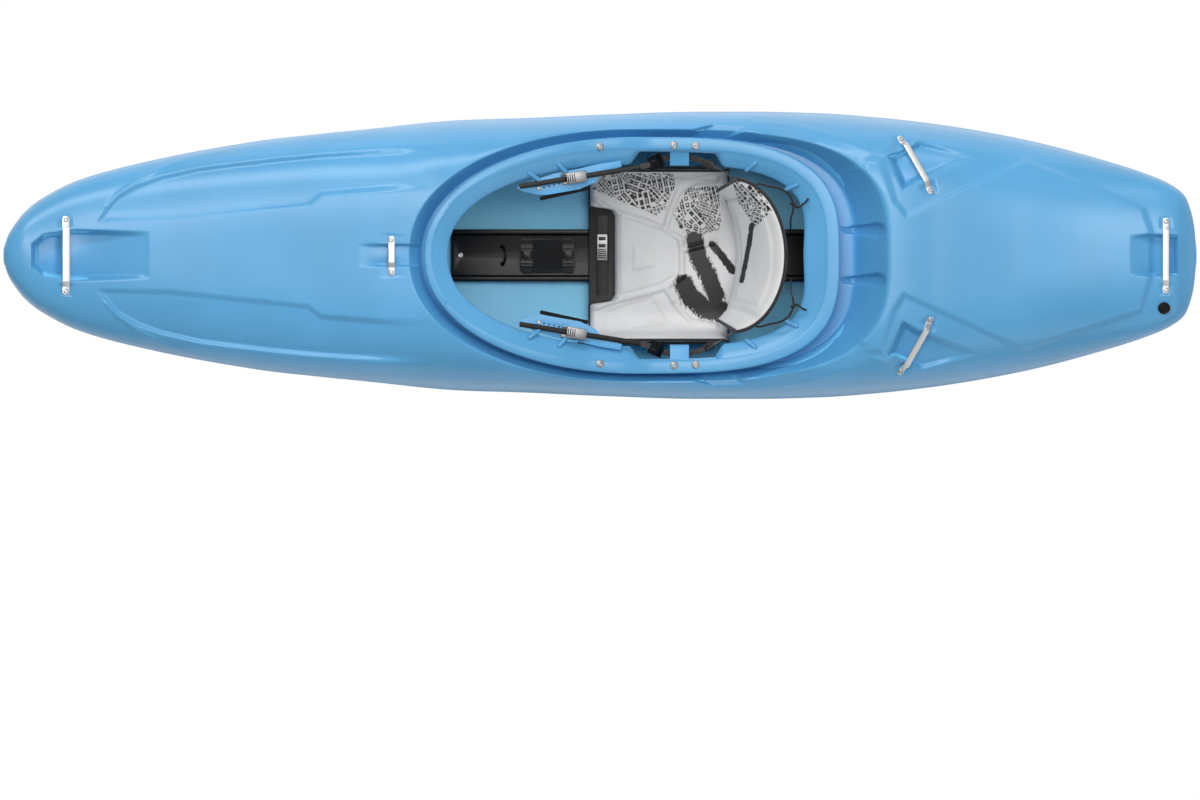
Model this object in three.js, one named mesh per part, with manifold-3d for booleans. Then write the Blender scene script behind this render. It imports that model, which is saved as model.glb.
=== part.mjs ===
// A river-running whitewater kayak with its deck fittings and cockpit outfitting.
// Millimetres. The bow points to -X, starboard is +Y and up is +Z.
// The origin lies on the ground under the middle of the hull.
import * as THREE from 'three';
import { mergeVertices } from 'three/addons/utils/BufferGeometryUtils.js';
import Module from 'manifold-3d';

const wasm = await Module();
wasm.setup();

// Driving sizes of the shell
const hullLength = 2700;
const hullBeam = 645;
const hullHeight = 428;
const shellWall = 6;
const bottomFlat = 3;

// Fits shared by all pieces
const seatGap = 0.3;
const cutOverrun = 60;

// Hull lines. Columns: place along the hull from the bow, half beam, keel height,
// height of the widest edge, height of the deck's crown, all as shares of the sizes above.
const LINE_SHARES = [
  [0.000, 0.046, 0.915, 0.937, 0.958],
  [0.0034, 0.130, 0.847, 0.920, 0.979],
  [0.0101, 0.221, 0.762, 0.885, 0.995],
  [0.0168, 0.291, 0.709, 0.852, 1.000],
  [0.0302, 0.382, 0.630, 0.812, 0.984],
  [0.0638, 0.523, 0.487, 0.725, 0.931],
  [0.1141, 0.639, 0.328, 0.647, 0.905],
  [0.1812, 0.751, 0.190, 0.536, 0.889],
  [0.2651, 0.853, 0.090, 0.422, 0.905],
  [0.3490, 0.919, 0.032, 0.288, 0.925],
  [0.3884, 0.943, 0.020, 0.235, 0.894],
  [0.4329, 0.954, 0.011, 0.206, 0.868],
  [0.5042, 0.980, 0.000, 0.180, 0.780],
  [0.5856, 1.000, 0.000, 0.172, 0.679],
  [0.6300, 1.000, 0.009, 0.172, 0.658],
  [0.6846, 0.989, 0.032, 0.176, 0.823],
  [0.7349, 0.958, 0.058, 0.185, 0.840],
  [0.7852, 0.909, 0.100, 0.207, 0.794],
  [0.8523, 0.811, 0.185, 0.268, 0.720],
  [0.9195, 0.667, 0.302, 0.362, 0.672],
  [0.9698, 0.526, 0.429, 0.505, 0.667],
  [0.9832, 0.465, 0.470, 0.530, 0.656],
  [0.9908, 0.407, 0.497, 0.538, 0.619],
  [0.9950, 0.323, 0.519, 0.545, 0.593],
  [0.9983, 0.207, 0.534, 0.548, 0.566],
  [1.0000, 0.060, 0.545, 0.550, 0.555],
];
// Squareness of the deck's section: place along the hull and power of the curve across.
const DECK_SQUARENESS_SHARES = [
  [0.00, 2.2], [0.064, 2.8], [0.18, 3.8], [0.35, 4.6], [0.43, 6.0], [0.50, 8.0],
  [0.63, 8.0], [0.69, 6.0], [0.76, 5.4], [0.85, 3.8], [0.97, 2.4], [1.00, 2.2],
];
const deckRisePower = 3;
const bilgePower = 3;
const bilgeRisePower = 1.6;
const sectionPoints = 24;

// Cockpit: ovals about one centre, each made of a front and a rear half
const cockpitAft = 90.6;
const rimOval = { front: 489, rear: 453, half: 268, frontPower: 2.1, rearPower: 3.1 };
const creaseOval = { front: 471, rear: 423, half: 241, frontPower: 2.15, rearPower: 3.2 };
const openingOval = { front: 435, rear: 381, half: 206, frontPower: 2.2, rearPower: 3.4 };
const moatOval = { front: 528, rear: 576, half: 288, frontPower: 2.2, rearPower: 3.2 };
const rimSegments = 48;
// Height of the rim along the hull, as shares of the hull's length and height
const RIM_HEIGHT_SHARES = [
  [0.350, 0.928], [0.362, 0.936], [0.393, 0.902], [0.433, 0.847], [0.466, 0.798],
  [0.492, 0.747], [0.517, 0.714], [0.546, 0.663], [0.584, 0.640], [0.617, 0.635],
  [0.660, 0.645], [0.705, 0.662],
];
const lipThickness = 9;
const lipOverhang = 10;
const coamingWall = 4.5;
const coamingDepth = 52;
const lipRound = 2;
const flangeDrop = 22;
const flangeThickness = 6;
const flangeStep = 3;
const moatFloorShare = 0.35;
const hangerNotch = { from: 4, to: 188, reach: 236 };

// Deck bars: ends as shares of hull length and of the half beam at that place
const barThickness = 4;
const barFoot = 17;
const barBend = 14;
const BAR_PLACE_SHARES = {
  bow_grab_bar: { from: [0.0516, -0.575], to: [0.0516, 0.575] },
  front_deck_bar: { from: [0.3251, -0.157], to: [0.3251, 0.150] },
  rear_grab_bar_starboard: { from: [0.7785, 0.47], to: [0.7508, 0.885] },
  rear_grab_bar_port: { from: [0.7785, -0.47], to: [0.7508, -0.885] },
  stern_grab_bar: { from: [0.9746, -0.53], to: [0.9746, 0.52] },
};
const barWidths = {
  bow_grab_bar: 18,
  front_deck_bar: 15,
  rear_grab_bar_starboard: 14,
  rear_grab_bar_port: 14,
  stern_grab_bar: 15,
};
const barRises = {
  bow_grab_bar: 5,
  front_deck_bar: 4,
  rear_grab_bar_starboard: 13,
  rear_grab_bar_port: 13,
  stern_grab_bar: 5,
};
const landDepth = 1.5;
const landMargin = 1.5;
const screwHeadRadius = 5.5;
const screwHeadHeight = 2.5;
const screwRadius = 2.5;
const screwTail = 3;
const screwSides = 8;

// Moulded pockets: corners as [share of length, share of half beam, share of depth]
const POCKET_SHARES = {
  bow: [
    [0.024, -0.22, 0.9], [0.034, -0.36, 1.0], [0.060, -0.34, 0.9], [0.122, -0.24, 0.02],
    [0.122, 0.24, 0.02], [0.060, 0.34, 0.9], [0.034, 0.36, 1.0], [0.024, 0.22, 0.9],
  ],
  front: [
    [0.300, -0.085, 0.02], [0.3175, -0.085, 1.0], [0.352, -0.085, 0.9],
    [0.352, 0.085, 0.9], [0.3175, 0.085, 1.0], [0.300, 0.085, 0.02],
  ],
  rear: [
    [0.7425, 0.73, 1.0], [0.769, 0.86, 0.5], [0.818, 0.80, 0.02], [0.7665, 0.57, 0.7],
    [0.7545, 0.50, 0.9],
  ],
  stern: [
    [0.945, -0.22, 0.02], [0.960, -0.26, 0.8], [0.984, -0.30, 1.0],
    [0.984, 0.30, 1.0], [0.960, 0.26, 0.8], [0.945, 0.22, 0.02],
  ],
};
// The wall behind a pocket stands out a little more sideways than below
const pocketWallShare = 1.4;
const pocketDepths = { bow: 46, front: 15, rear: 40, stern: 30 };
const drainNotch = { from: [224, 259], to: [352, 322], width: 66, depth: 23, flatShare: 0.25 };

// Drain plug on the port side of the stern
const DRAIN_PLACE_SHARE = [0.9731, -0.717];
const drainRadius = 9.5;
const drainHead = { radius: 14, height: 5 };
const drainShank = 13;
const drainSlot = { length: 20, width: 3, depth: 2 };
const sealThickness = 1.6;
const sealBand = 3;

// Side bolt pockets and the foot rest behind them
const sideBolt = { aft: -574.6, height: 166 };
const sidePocket = { length: 88, height: 41, depth: 3 };
const footRail = { length: 225, lead: 20, reachShare: 0.7318, thickness: 12, height: 26, stand: 22 };
const footPlate = { thickness: 15, aft: -575, lead: 6, low: 60, high: 325, inset: 14, gap: 0.5 };
const footEar = 8;
const footRailInner = (hullBeam / 2) * footRail.reachShare;

// Foam pillars between floor and deck
const pillarWidth = 70;
const frontPillar = { from: -1110, to: -700 };
const rearPillar = { from: 690, to: 1090 };

// Floor spine
const track = { from: -337, to: 467, width: 118, top: 40, rail: 12, channel: 26 };
const trackBolt = { aft: -316, radius: 7, height: 5, shank: 4, bite: 1 };
const pouch = { from: -183, to: -57, width: 76, height: 26, round: 9 };

// Seat
const seatPan = { from: -26, to: 262, half: 201, side: 150, corner: 70, thickness: 5 };
const seatPad = { from: -24, to: 256, half: 128, recessTo: 34, recessHalf: 106, rise: 30, edge: 9 };
const padGroove = { depth: 6, width: 13 };
const [padColumns, padRows] = [13, 16];
// Raised middle panel of the pad as shares of its length and half width
const PANEL_OUTLINE_SHARES = [[0.20, -0.72], [0.50, -0.34], [0.50, 0.34], [0.20, 0.72]];
const hipPad = { from: -24, to: 205, turnFrom: 0, above: [130, 149, 168], rise: 24, edge: 5 };
const panArcSteps = 6;
const sidePadColumns = 8;
const thighPadRows = 4;
const lifterStrap = { aft: 5, half: 90, width: 27, thickness: 3 };
const lifterRatchet = { from: -12, to: 48, width: 24, height: 12 };
const lifterLever = { thickness: 4 };

// Hangers under the rim
const hanger = {
  aft: 180, width: 43, thickness: 5, legReach: 216, footHeight: 108, flange: { lead: 35, trail: 45 },
  stepShares: [0.8, 0.4],
};
const flangeFrom = 15.5;
const flangeGap = 0.6;
const hangerReach = 28;
const rimBandSteps = 4;

// Backband
const backband = {
  topAft: 299, topReach: 124, topHalf: 176, topHeight: 286, topSag: 36,
  lowAft: 262, lowReach: 52, lowHalf: 150, lowHeight: 112, lowLift: 56,
  rise: 20, edge: 6, leanShare: 0.5, forwardShare: 0.86,
};
const backbandSweepAngle = 1.48;
const [backbandColumns, backbandRows] = [20, 6];

// Toothed straps, webbing and their ratchets: starboard side, mirrored for port
const strapLine = { front: [-182, 156, 350], rear: [92, 200, 293] };
const strapWidth = 12;
const strapThickness = 3;
const webbingThickness = 2;
// The webbing turns from lying flat to standing on edge between two points of its route
const webbingTurn = { from: 4, to: 7 };
const WEBBING_ROUTE = [
  [76, 197.5, 293], [90, 199.7, 290], [118, 207.5, 271.5], [144, 219, 243], [178, 224, 238.5],
  [206, 221, 237.5], [232, 213, 238.5], [256, 202, 241], [280, 190, 243],
];
// Where the webbing lies on the back of the backband: shares of its sweep and height
const WEBBING_END_SHARES = [[1.0, 0.86], [0.975, 0.86], [0.95, 0.86], [0.92, 0.86]];
const brace = {
  front: [-191, 157], slope: 0.146, height: 330.5, thickness: 5,
  screw: [-138.9, 152], holePitch: 11.8, holes: 6, holeRadius: 2.2, turn: 0.215,
};
// Outline of the brace in its own plane, measured from its screw, in millimetres
const BRACE_OUTLINE = [
  [-50, 12], [-38, 1], [-8, -13], [20, -19], [90, -22], [128, -14], [150, 4], [196, 8], [196, 22],
  [150, 24.5], [90, 24], [40, 25], [0, 21],
];
const bracket = {
  from: -6, to: 118, width: 20, thickness: 5, arm: { width: 26, bite: 0.5, stepShare: 0.4 },
};
const thighPad = { from: 0, to: 112, inner: -21.5, outer: -12.5, thickness: 14 };
const ratchet = {
  aft: 82, across: 7, length: 55, width: 25, base: 3, cheek: 2.5, height: 17, lead: 12,
};
const ratchetLever = { length: 46, thickness: 4 };

// Retention cords behind the backband, starboard side, hand-placed route
const cordRadius = 2;
const cordSides = 8;
const cordSteps = 28;
const CORD_ROUTE = [
  [348.45, 154.9, 253.5], [352.1, 158.9, 250.8], [359, 162, 253], [370, 160, 264], [384, 156, 277],
  [402, 152.5, 285], [418, 146, 286], [429, 136, 285], [436, 122, 283], [438, 108, 280],
  [436, 96, 274], [433, 86, 258], [432, 76, 226], [432, 67, 180], [432, 60, 120], [432, 55, 70],
  [432, 53, 40.3],
];

// Small helpers
const vec = (x, y, z) => new THREE.Vector3(x, y, z);
const mirror = (point, side) => [point[0], point[1] * side, point[2]];
const mix = (a, b, t) => a + (b - a) * t;

// Smooth curve through the columns of a table that never overshoots its points
function smoothCurve(rows, column) {
  const xs = rows.map((row) => row[0]);
  const ys = rows.map((row) => row[column]);
  const steps = xs.slice(1).map((x, i) => x - xs[i]);
  const slopes = steps.map((step, i) => (ys[i + 1] - ys[i]) / step);
  const tangents = xs.map((_, i) => {
    if (i === 0 || i === xs.length - 1) return slopes[i === 0 ? 0 : i - 1];
    const [before, after] = [slopes[i - 1], slopes[i]];
    return before * after <= 0 ? 0 : (2 * before * after) / (before + after);
  });
  return (x) => {
    const last = xs.length - 2;
    let i = 0;
    while (i < last && x > xs[i + 1]) i += 1;
    const t = Math.min(1, Math.max(0, (x - xs[i]) / steps[i]));
    const [a, b] = [t * t * (3 - 2 * t), t * (1 - t) * (1 - t)];
    return mix(ys[i], ys[i + 1], a) + steps[i] * (tangents[i] * b - tangents[i + 1] * t * t * (1 - t));
  };
}

// A closed solid from vertices and triangles, turned so that its faces point out
function solidOf(vertices, triangles) {
  let volume = 0;
  triangles.forEach(([a, b, c]) => {
    volume += vec(...vertices[a]).dot(vec(...vertices[b]).cross(vec(...vertices[c])));
  });
  const faces = volume < 0 ? triangles.map(([a, b, c]) => [a, c, b]) : triangles;
  return new wasm.Manifold(new wasm.Mesh({
    numProp: 3,
    vertProperties: new Float32Array(vertices.flat()),
    triVerts: new Uint32Array(faces.flat()),
  }));
}

// Skins a row of rings of equal count; open rows are closed by a fan at each end
function loft(rings, looped = false) {
  const count = rings[0].length;
  const vertices = rings.flat();
  const triangles = [];
  const rows = looped ? rings.length : rings.length - 1;
  for (let i = 0; i < rows; i += 1) {
    const next = (i + 1) % rings.length;
    for (let k = 0; k < count; k += 1) {
      const [a, b] = [i * count + k, i * count + ((k + 1) % count)];
      const [c, d] = [next * count + k, next * count + ((k + 1) % count)];
      triangles.push([a, c, b], [b, c, d]);
    }
  }
  if (!looped) {
    [0, rings.length - 1].forEach((row) => {
      const centre = [0, 1, 2].map((axis) => rings[row].reduce((sum, p) => sum + p[axis], 0) / count);
      vertices.push(centre);
      for (let k = 0; k < count; k += 1) {
        const [a, b] = [row * count + k, row * count + ((k + 1) % count)];
        triangles.push(row === 0 ? [a, b, vertices.length - 1] : [b, a, vertices.length - 1]);
      }
    });
  }
  return solidOf(vertices, triangles);
}

function solidFromGeometry(geometry) {
  const bare = geometry.clone();
  bare.deleteAttribute('normal');
  bare.deleteAttribute('uv');
  const merged = mergeVertices(bare);
  const position = merged.getAttribute('position');
  const index = merged.index.array;
  const vertices = [];
  for (let i = 0; i < position.count; i += 1) {
    vertices.push([position.getX(i), position.getY(i), position.getZ(i)]);
  }
  const triangles = [];
  for (let i = 0; i < index.length; i += 3) triangles.push([index[i], index[i + 1], index[i + 2]]);
  return solidOf(vertices, triangles);
}

function geometryFromSolid(solid) {
  const mesh = solid.getMesh();
  const geometry = new THREE.BufferGeometry();
  const { numProp, vertProperties } = mesh;
  const position = new Float32Array((vertProperties.length / numProp) * 3);
  for (let i = 0; i < position.length / 3; i += 1) {
    position.set(vertProperties.subarray(i * numProp, i * numProp + 3), i * 3);
  }
  geometry.setAttribute('position', new THREE.BufferAttribute(position, 3));
  geometry.setIndex(new THREE.BufferAttribute(new Uint32Array(mesh.triVerts), 1));
  geometry.computeVertexNormals();
  return geometry;
}

// A box between two corners
function block(low, high) {
  const size = high.map((value, i) => value - low[i]);
  const geometry = new THREE.BoxGeometry(...size);
  geometry.translate(...low.map((value, i) => value + size[i] / 2));
  return solidFromGeometry(geometry);
}

// A cylinder along an axis, from one distance to another
function rod(radius, from, to, frame, sides = 16) {
  const geometry = new THREE.CylinderGeometry(radius, radius, to - from, sides);
  geometry.rotateX(Math.PI / 2);
  geometry.translate(0, 0, (from + to) / 2);
  geometry.applyMatrix4(frame);
  return solidFromGeometry(geometry);
}

// A solid of revolution about Z from [radius, height] pairs
const turned = (profile, sides) => loft(profile.map(([radius, height]) => Array.from(
  { length: sides },
  (_, i) => {
    const angle = (2 * Math.PI * (i + 0.5)) / sides;
    return [radius * Math.cos(angle), radius * Math.sin(angle), height];
  },
)));

// A frame at a point whose Z axis is the given direction and whose X axis lies near another
function frameAt(point, up, along = [1, 0, 0]) {
  const z = vec(...up).normalize();
  const y = z.clone().cross(vec(...along)).normalize();
  const x = y.clone().cross(z);
  return new THREE.Matrix4().makeBasis(x, y, z).setPosition(...point);
}

const moved = (solid, frame) => {
  const geometry = geometryFromSolid(solid);
  geometry.applyMatrix4(frame);
  return solidFromGeometry(geometry);
};

// A band of rectangular section along a path; its width runs along the across vectors
function ribbon(points, across, width, thickness) {
  const rings = points.map((point, i) => {
    const before = vec(...points[Math.max(0, i - 1)]);
    const after = vec(...points[Math.min(points.length - 1, i + 1)]);
    const tangent = after.sub(before).normalize();
    const side = vec(...across[Math.min(i, across.length - 1)]);
    side.addScaledVector(tangent, -side.dot(tangent)).normalize();
    const up = tangent.clone().cross(side);
    return [[1, 1], [-1, 1], [-1, -1], [1, -1]].map(([a, b]) => vec(...point)
      .addScaledVector(side, (a * width) / 2)
      .addScaledVector(up, (b * thickness) / 2)
      .toArray());
  });
  return loft(rings);
}

// A flat plate from a plan outline, standing on z = 0
function plate(outline, thickness) {
  const shape = new THREE.Shape(outline.map(([x, y]) => new THREE.Vector2(x, y)));
  return solidFromGeometry(new THREE.ExtrudeGeometry(shape, { depth: thickness, bevelEnabled: false }));
}

// A cushion: a base surface and, above it, the same surface raised by a crown
function cushion(columns, rows, base, raise) {
  const vertices = [];
  const at = (layer, i, j) => layer * (columns + 1) * (rows + 1) + i * (rows + 1) + j;
  [0, 1].forEach((layer) => {
    for (let i = 0; i <= columns; i += 1) {
      for (let j = 0; j <= rows; j += 1) {
        const [u, v] = [i / columns, j / rows];
        const point = vec(...base(u, v));
        vertices.push((layer ? point.add(vec(...raise(u, v))) : point).toArray());
      }
    }
  });
  const triangles = [];
  for (let i = 0; i < columns; i += 1) {
    for (let j = 0; j < rows; j += 1) {
      const cell = (layer) => [at(layer, i, j), at(layer, i + 1, j), at(layer, i, j + 1), at(layer, i + 1, j + 1)];
      const [a, b, c, d] = cell(0);
      const [e, f, g, h] = cell(1);
      triangles.push([a, c, b], [b, c, d], [e, f, g], [f, h, g]);
    }
  }
  const edge = [];
  for (let i = 0; i < columns; i += 1) edge.push([i, 0]);
  for (let j = 0; j < rows; j += 1) edge.push([columns, j]);
  for (let i = columns; i > 0; i -= 1) edge.push([i, rows]);
  for (let j = rows; j > 0; j -= 1) edge.push([0, j]);
  edge.forEach(([i, j], k) => {
    const [m, n] = edge[(k + 1) % edge.length];
    triangles.push([at(0, i, j), at(0, m, n), at(1, i, j)], [at(1, i, j), at(0, m, n), at(1, m, n)]);
  });
  return solidOf(vertices, triangles);
}

// Crown of a cushion over its own square: low at the rim, full in the middle
function crown(u, v, edge, rise, power = 3) {
  const inside = (1 - Math.abs(2 * u - 1) ** power) * (1 - Math.abs(2 * v - 1) ** power);
  return edge + (rise - edge) * Math.sqrt(Math.max(0, inside));
}

// Hull lines as functions of x
const shareAt = (x) => x / hullLength + 0.5;
const placeOf = (share) => (share - 0.5) * hullLength;
const beamLine = smoothCurve(LINE_SHARES, 1);
const keelLine = smoothCurve(LINE_SHARES, 2);
const edgeLine = smoothCurve(LINE_SHARES, 3);
const crownLine = smoothCurve(LINE_SHARES, 4);
const squarenessLine = smoothCurve(DECK_SQUARENESS_SHARES, 1);
const rimLine = smoothCurve(RIM_HEIGHT_SHARES, 1);

const halfBeamAt = (x) => (hullBeam / 2) * beamLine(shareAt(x));
const rimHeightAt = (x) => hullHeight * rimLine(shareAt(x));

function linesAt(x, inset = 0) {
  const share = shareAt(x);
  const half = halfBeamAt(x) - inset;
  const keel = hullHeight * keelLine(share) - bottomFlat + inset;
  const top = hullHeight * crownLine(share) - inset;
  const edge = Math.min(top, Math.max(keel, hullHeight * edgeLine(share)));
  return { half, keel, top, edge, power: squarenessLine(share) };
}

function sectionRing(x, inset = 0) {
  const { half, keel, top, edge, power } = linesAt(x, inset);
  return Array.from({ length: sectionPoints }, (_, k) => {
    const angle = (2 * Math.PI * k) / sectionPoints;
    const [c, s] = [Math.cos(angle), Math.sin(angle)];
    const deck = k <= sectionPoints / 2;
    const y = half * Math.sign(c) * Math.abs(c) ** (2 / (deck ? power : bilgePower));
    const rise = Math.abs(s) ** (2 / (deck ? deckRisePower : bilgeRisePower));
    const z = deck ? mix(edge, top, rise) : mix(edge, keel, rise);
    return [x, Math.abs(c) < 1e-9 ? 0 : y, Math.max(z, inset)];
  });
}

function deckHeightAt(x, y) {
  const { half, top, edge, power } = linesAt(x);
  const across = Math.min(1, Math.abs(y) / half);
  return mix(edge, top, (1 - across ** power) ** (1 / deckRisePower));
}

function deckNormalAt(x, y, step = hullBeam / 100) {
  const slopeX = (deckHeightAt(x + step, y) - deckHeightAt(x - step, y)) / (2 * step);
  const slopeY = (deckHeightAt(x, y + step) - deckHeightAt(x, y - step)) / (2 * step);
  return [-slopeX, -slopeY, 1];
}

const deckPoint = ([along, across]) => {
  const x = placeOf(along);
  const y = across * halfBeamAt(x);
  return [x, y, deckHeightAt(x, y)];
};

// Stations: every line of the table, and a point between the far ones
function stations() {
  const shares = LINE_SHARES.map((row) => row[0]);
  return shares.flatMap((share, i) => {
    const next = shares[i + 1];
    return next - share > 0.03 ? [share, (share + next) / 2] : [share];
  });
}

function hullBody(inset) {
  const inner = inset > 0;
  const places = stations().map(placeOf).filter((x) => !inner || Math.abs(x) < hullLength / 2 - 1.5 * shellWall);
  return loft(places.map((x) => sectionRing(x, inset)));
}

// A point of an oval at an angle; inset moves it inwards
function ovalPoint(oval, angle, inset = 0) {
  const [c, s] = [Math.cos(angle), Math.sin(angle)];
  const rear = c >= 0;
  const power = rear ? oval.rearPower : oval.frontPower;
  const reach = (rear ? oval.rear : oval.front) - inset;
  const x = cockpitAft + reach * Math.sign(c) * Math.abs(c) ** (2 / power);
  const y = (oval.half - inset) * Math.sign(s) * Math.abs(s) ** (2 / power);
  return [Math.abs(c) < 1e-9 ? cockpitAft : x, Math.abs(s) < 1e-9 ? 0 : y];
}

const rimAngles = Array.from({ length: rimSegments }, (_, k) => (2 * Math.PI * k) / rimSegments);
const rimHeightAtAngle = (angle) => rimHeightAt(ovalPoint(creaseOval, angle)[0]);

// A ring round the cockpit at a depth below the rim
const rimRing = (oval, inset, drop) => rimAngles.map((angle) => {
  const [x, y] = ovalPoint(oval, angle, inset);
  return [x, y, rimHeightAtAngle(angle) - drop];
});

function coaming() {
  const wallOuter = lipOverhang;
  const wallInner = lipOverhang + coamingWall;
  const under = lipThickness;
  const foot = coamingDepth + shellWall / 2;
  const profile = [
    [rimOval, 0, under], [rimOval, 0, lipRound], [rimOval, lipRound, 0], [creaseOval, 0, 0],
    [creaseOval, lipRound, flangeStep], [openingOval, 0, flangeDrop],
    [openingOval, 0, flangeDrop + flangeThickness], [creaseOval, lipRound, under],
    [rimOval, wallInner, under], [rimOval, wallInner, foot], [rimOval, wallOuter, foot],
    [rimOval, wallOuter, under],
  ];
  const rows = profile.map(([oval, inset, drop]) => rimRing(oval, inset, drop));
  const rings = rimAngles.map((_, k) => rows.map((row) => row[k]));
  return loft(rings, true);
}

// The sunk ring round the coaming; grow enlarges it on every side
function moat(grow) {
  const floor = rimRing(rimOval, lipOverhang, coamingDepth + grow);
  const edge = rimAngles.map((angle) => ovalPoint(moatOval, angle, -grow));
  const toe = rimAngles.map((angle, k) => {
    const [x, y] = [0, 1].map((axis) => mix(floor[k][axis], edge[k][axis], moatFloorShare));
    return [x, y, floor[k][2]];
  });
  const brim = edge.map(([x, y]) => [x, y, deckHeightAt(x, y) + landDepth]);
  const top = edge.map(([x, y]) => [x, y, hullHeight + cutOverrun]);
  return loft([floor, toe, brim, top]);
}

function cockpitOpening() {
  const inset = lipOverhang + coamingWall + landMargin;
  const low = rimRing(rimOval, inset, coamingDepth + 3 * shellWall);
  const high = low.map(([x, y]) => [x, y, hullHeight + cutOverrun]);
  return loft([low, high]);
}

// A pocket moulded into the deck; grow enlarges it for the wall behind it
function pocket(corners, depth, grow = 0) {
  const points = corners.map(([along, across, deep]) => {
    const [x, y, z] = deckPoint([along, across]);
    return [x, y, z - depth * deep];
  });
  const middle = [0, 1].map((axis) => points.reduce((sum, p) => sum + p[axis], 0) / points.length);
  const low = points.map(([x, y, z]) => {
    const away = vec(x - middle[0], y - middle[1], 0).setLength(pocketWallShare * grow);
    return [x + away.x, y + away.y, z - grow];
  });
  return loft([low, low.map(([x, y]) => [x, y, hullHeight + cutOverrun])]);
}

// Drain notch from the moat out over the gunwale
function gunwaleNotch(side, grow = 0) {
  const [from, to] = [drainNotch.from, drainNotch.to];
  const run = vec(to[0] - from[0], to[1] - from[1], 0).normalize();
  const across = vec(-run.y, run.x, 0);
  const level = deckHeightAt((from[0] + to[0]) / 2, (moatOval.half + from[1]) / 2);
  const half = drainNotch.width / 2 + grow;
  const floor = level - drainNotch.depth - grow;
  const flat = half * drainNotch.flatShare;
  const shape = [[-half, hullHeight], [-half, level], [-flat, floor], [flat, floor], [half, level],
    [half, hullHeight]];
  const rings = [from, to].map(([x, y]) => shape.map(([offset, z]) => [
    x + across.x * offset, side * (y + across.y * offset), z,
  ]));
  return loft(rings);
}

const pockets = (grow) => [
  pocket(POCKET_SHARES.bow, pocketDepths.bow, grow),
  pocket(POCKET_SHARES.front, pocketDepths.front, grow),
  pocket(POCKET_SHARES.stern, pocketDepths.stern, grow),
  ...[1, -1].map((side) => pocket(
    POCKET_SHARES.rear.map(([along, across, deep]) => [along, across * side, deep]),
    pocketDepths.rear,
    grow,
  )),
  ...[1, -1].map((side) => gunwaleNotch(side, grow)),
  ...barNames.map((name) => barTrough(barSeat(name), grow)),
];

// Deck bars: a frame at the middle of each bar, its X axis along the bar
function barSeat(name) {
  const place = BAR_PLACE_SHARES[name];
  const [from, to] = [deckPoint(place.from), deckPoint(place.to)];
  const along = vec(...to).sub(vec(...from));
  const middle = vec(...from).add(vec(...to)).multiplyScalar(0.5);
  const up = vec(...deckNormalAt(middle.x, middle.y));
  const length = along.length();
  up.addScaledVector(along, -up.dot(along) / (length * length)).normalize();
  middle.addScaledVector(up, -landDepth);
  const frame = frameAt(middle.toArray(), up.toArray(), along.toArray());
  return { frame, length, width: barWidths[name], rise: barRises[name] };
}
const barNames = Object.keys(BAR_PLACE_SHARES);
const screwPlaces = ({ length }) => [-1, 1].map((end) => end * (length / 2 - barFoot / 2));

// The bar's middle line in its own frame: two flat feet and a raised middle
function barPath({ length, rise }) {
  const half = length / 2;
  const base = seatGap + barThickness / 2;
  return [
    [-half, 0, base], [-half + barFoot, 0, base], [-half + barFoot + barBend, 0, base + rise],
    [half - barFoot - barBend, 0, base + rise], [half - barFoot, 0, base], [half, 0, base],
  ];
}

function barSolid(seat) {
  const wide = seat.width / 2;
  const strip = loft(barPath(seat).map(([x, , z]) => [[-1, -1], [1, -1], [1, 1], [-1, 1]].map(
    ([a, b]) => [x, a * wide, z + (b * barThickness) / 2],
  )));
  const level = new THREE.Matrix4();
  return screwPlaces(seat).reduce((bar, x) => bar.subtract(
    rod(screwRadius + seatGap, -cutOverrun, cutOverrun, level.clone().setPosition(x, 0, 0), 8),
  ), strip);
}

// The trough that a bar lies in, from just under it upwards
function barTrough(seat, grow = 0) {
  const wide = seat.width / 2 + landMargin + grow;
  const lift = barThickness / 2 + seatGap + grow;
  const rings = barPath(seat).map(([x, , z]) => {
    const far = Math.abs(x) > seat.length / 2 - seatGap ? Math.sign(x) * (landMargin + grow) : 0;
    return [[x + far, -wide, z - lift], [x + far, wide, z - lift],
      [x + far, wide, cutOverrun], [x + far, -wide, cutOverrun]];
  });
  return moved(loft(rings), seat.frame);
}

function barHoles(seat) {
  return screwPlaces(seat).map((x) => moved(
    rod(screwRadius + seatGap, -cutOverrun / 2, cutOverrun, frameAt([x, 0, 0], [0, 0, 1]), 8),
    seat.frame,
  ));
}

// The space inside the shell, drawn in from it by a gap
function innerSpace(gap) {
  const grow = shellWall + gap;
  return [moat(grow), ...pockets(grow)].reduce((space, cut) => space.subtract(cut), hullBody(grow));
}

const freeSpace = innerSpace(seatGap);

// A screw whose seat is at z = 0 and whose shank reaches a depth
function screwSolid(depth) {
  return turned([
    [screwRadius, -depth], [screwRadius, seatGap], [screwHeadRadius, seatGap],
    [screwHeadRadius, screwHeadHeight + seatGap],
  ], screwSides);
}

// Rim screws: a frame on the lip, tilted with the rim's slope
const SCREW_AFT = [0, 167.5, 216.5];
const screwInset = 18.5;
function rimScrewFrame(x, side) {
  const step = screwHeadRadius;
  const slope = (rimHeightAt(x + step) - rimHeightAt(x - step)) / (2 * step);
  const rear = x >= cockpitAft;
  const reach = (rear ? rimOval.rear : rimOval.front) - screwInset;
  const power = rear ? rimOval.rearPower : rimOval.frontPower;
  const across = (1 - (Math.abs(x - cockpitAft) / reach) ** power) ** (1 / power);
  const y = side * (rimOval.half - screwInset) * across;
  return frameAt([x, y, rimHeightAt(x) - landDepth / 2], [-slope, 0, 1]);
}
const rimScrewDepth = lipThickness + hanger.thickness + screwTail;

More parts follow.
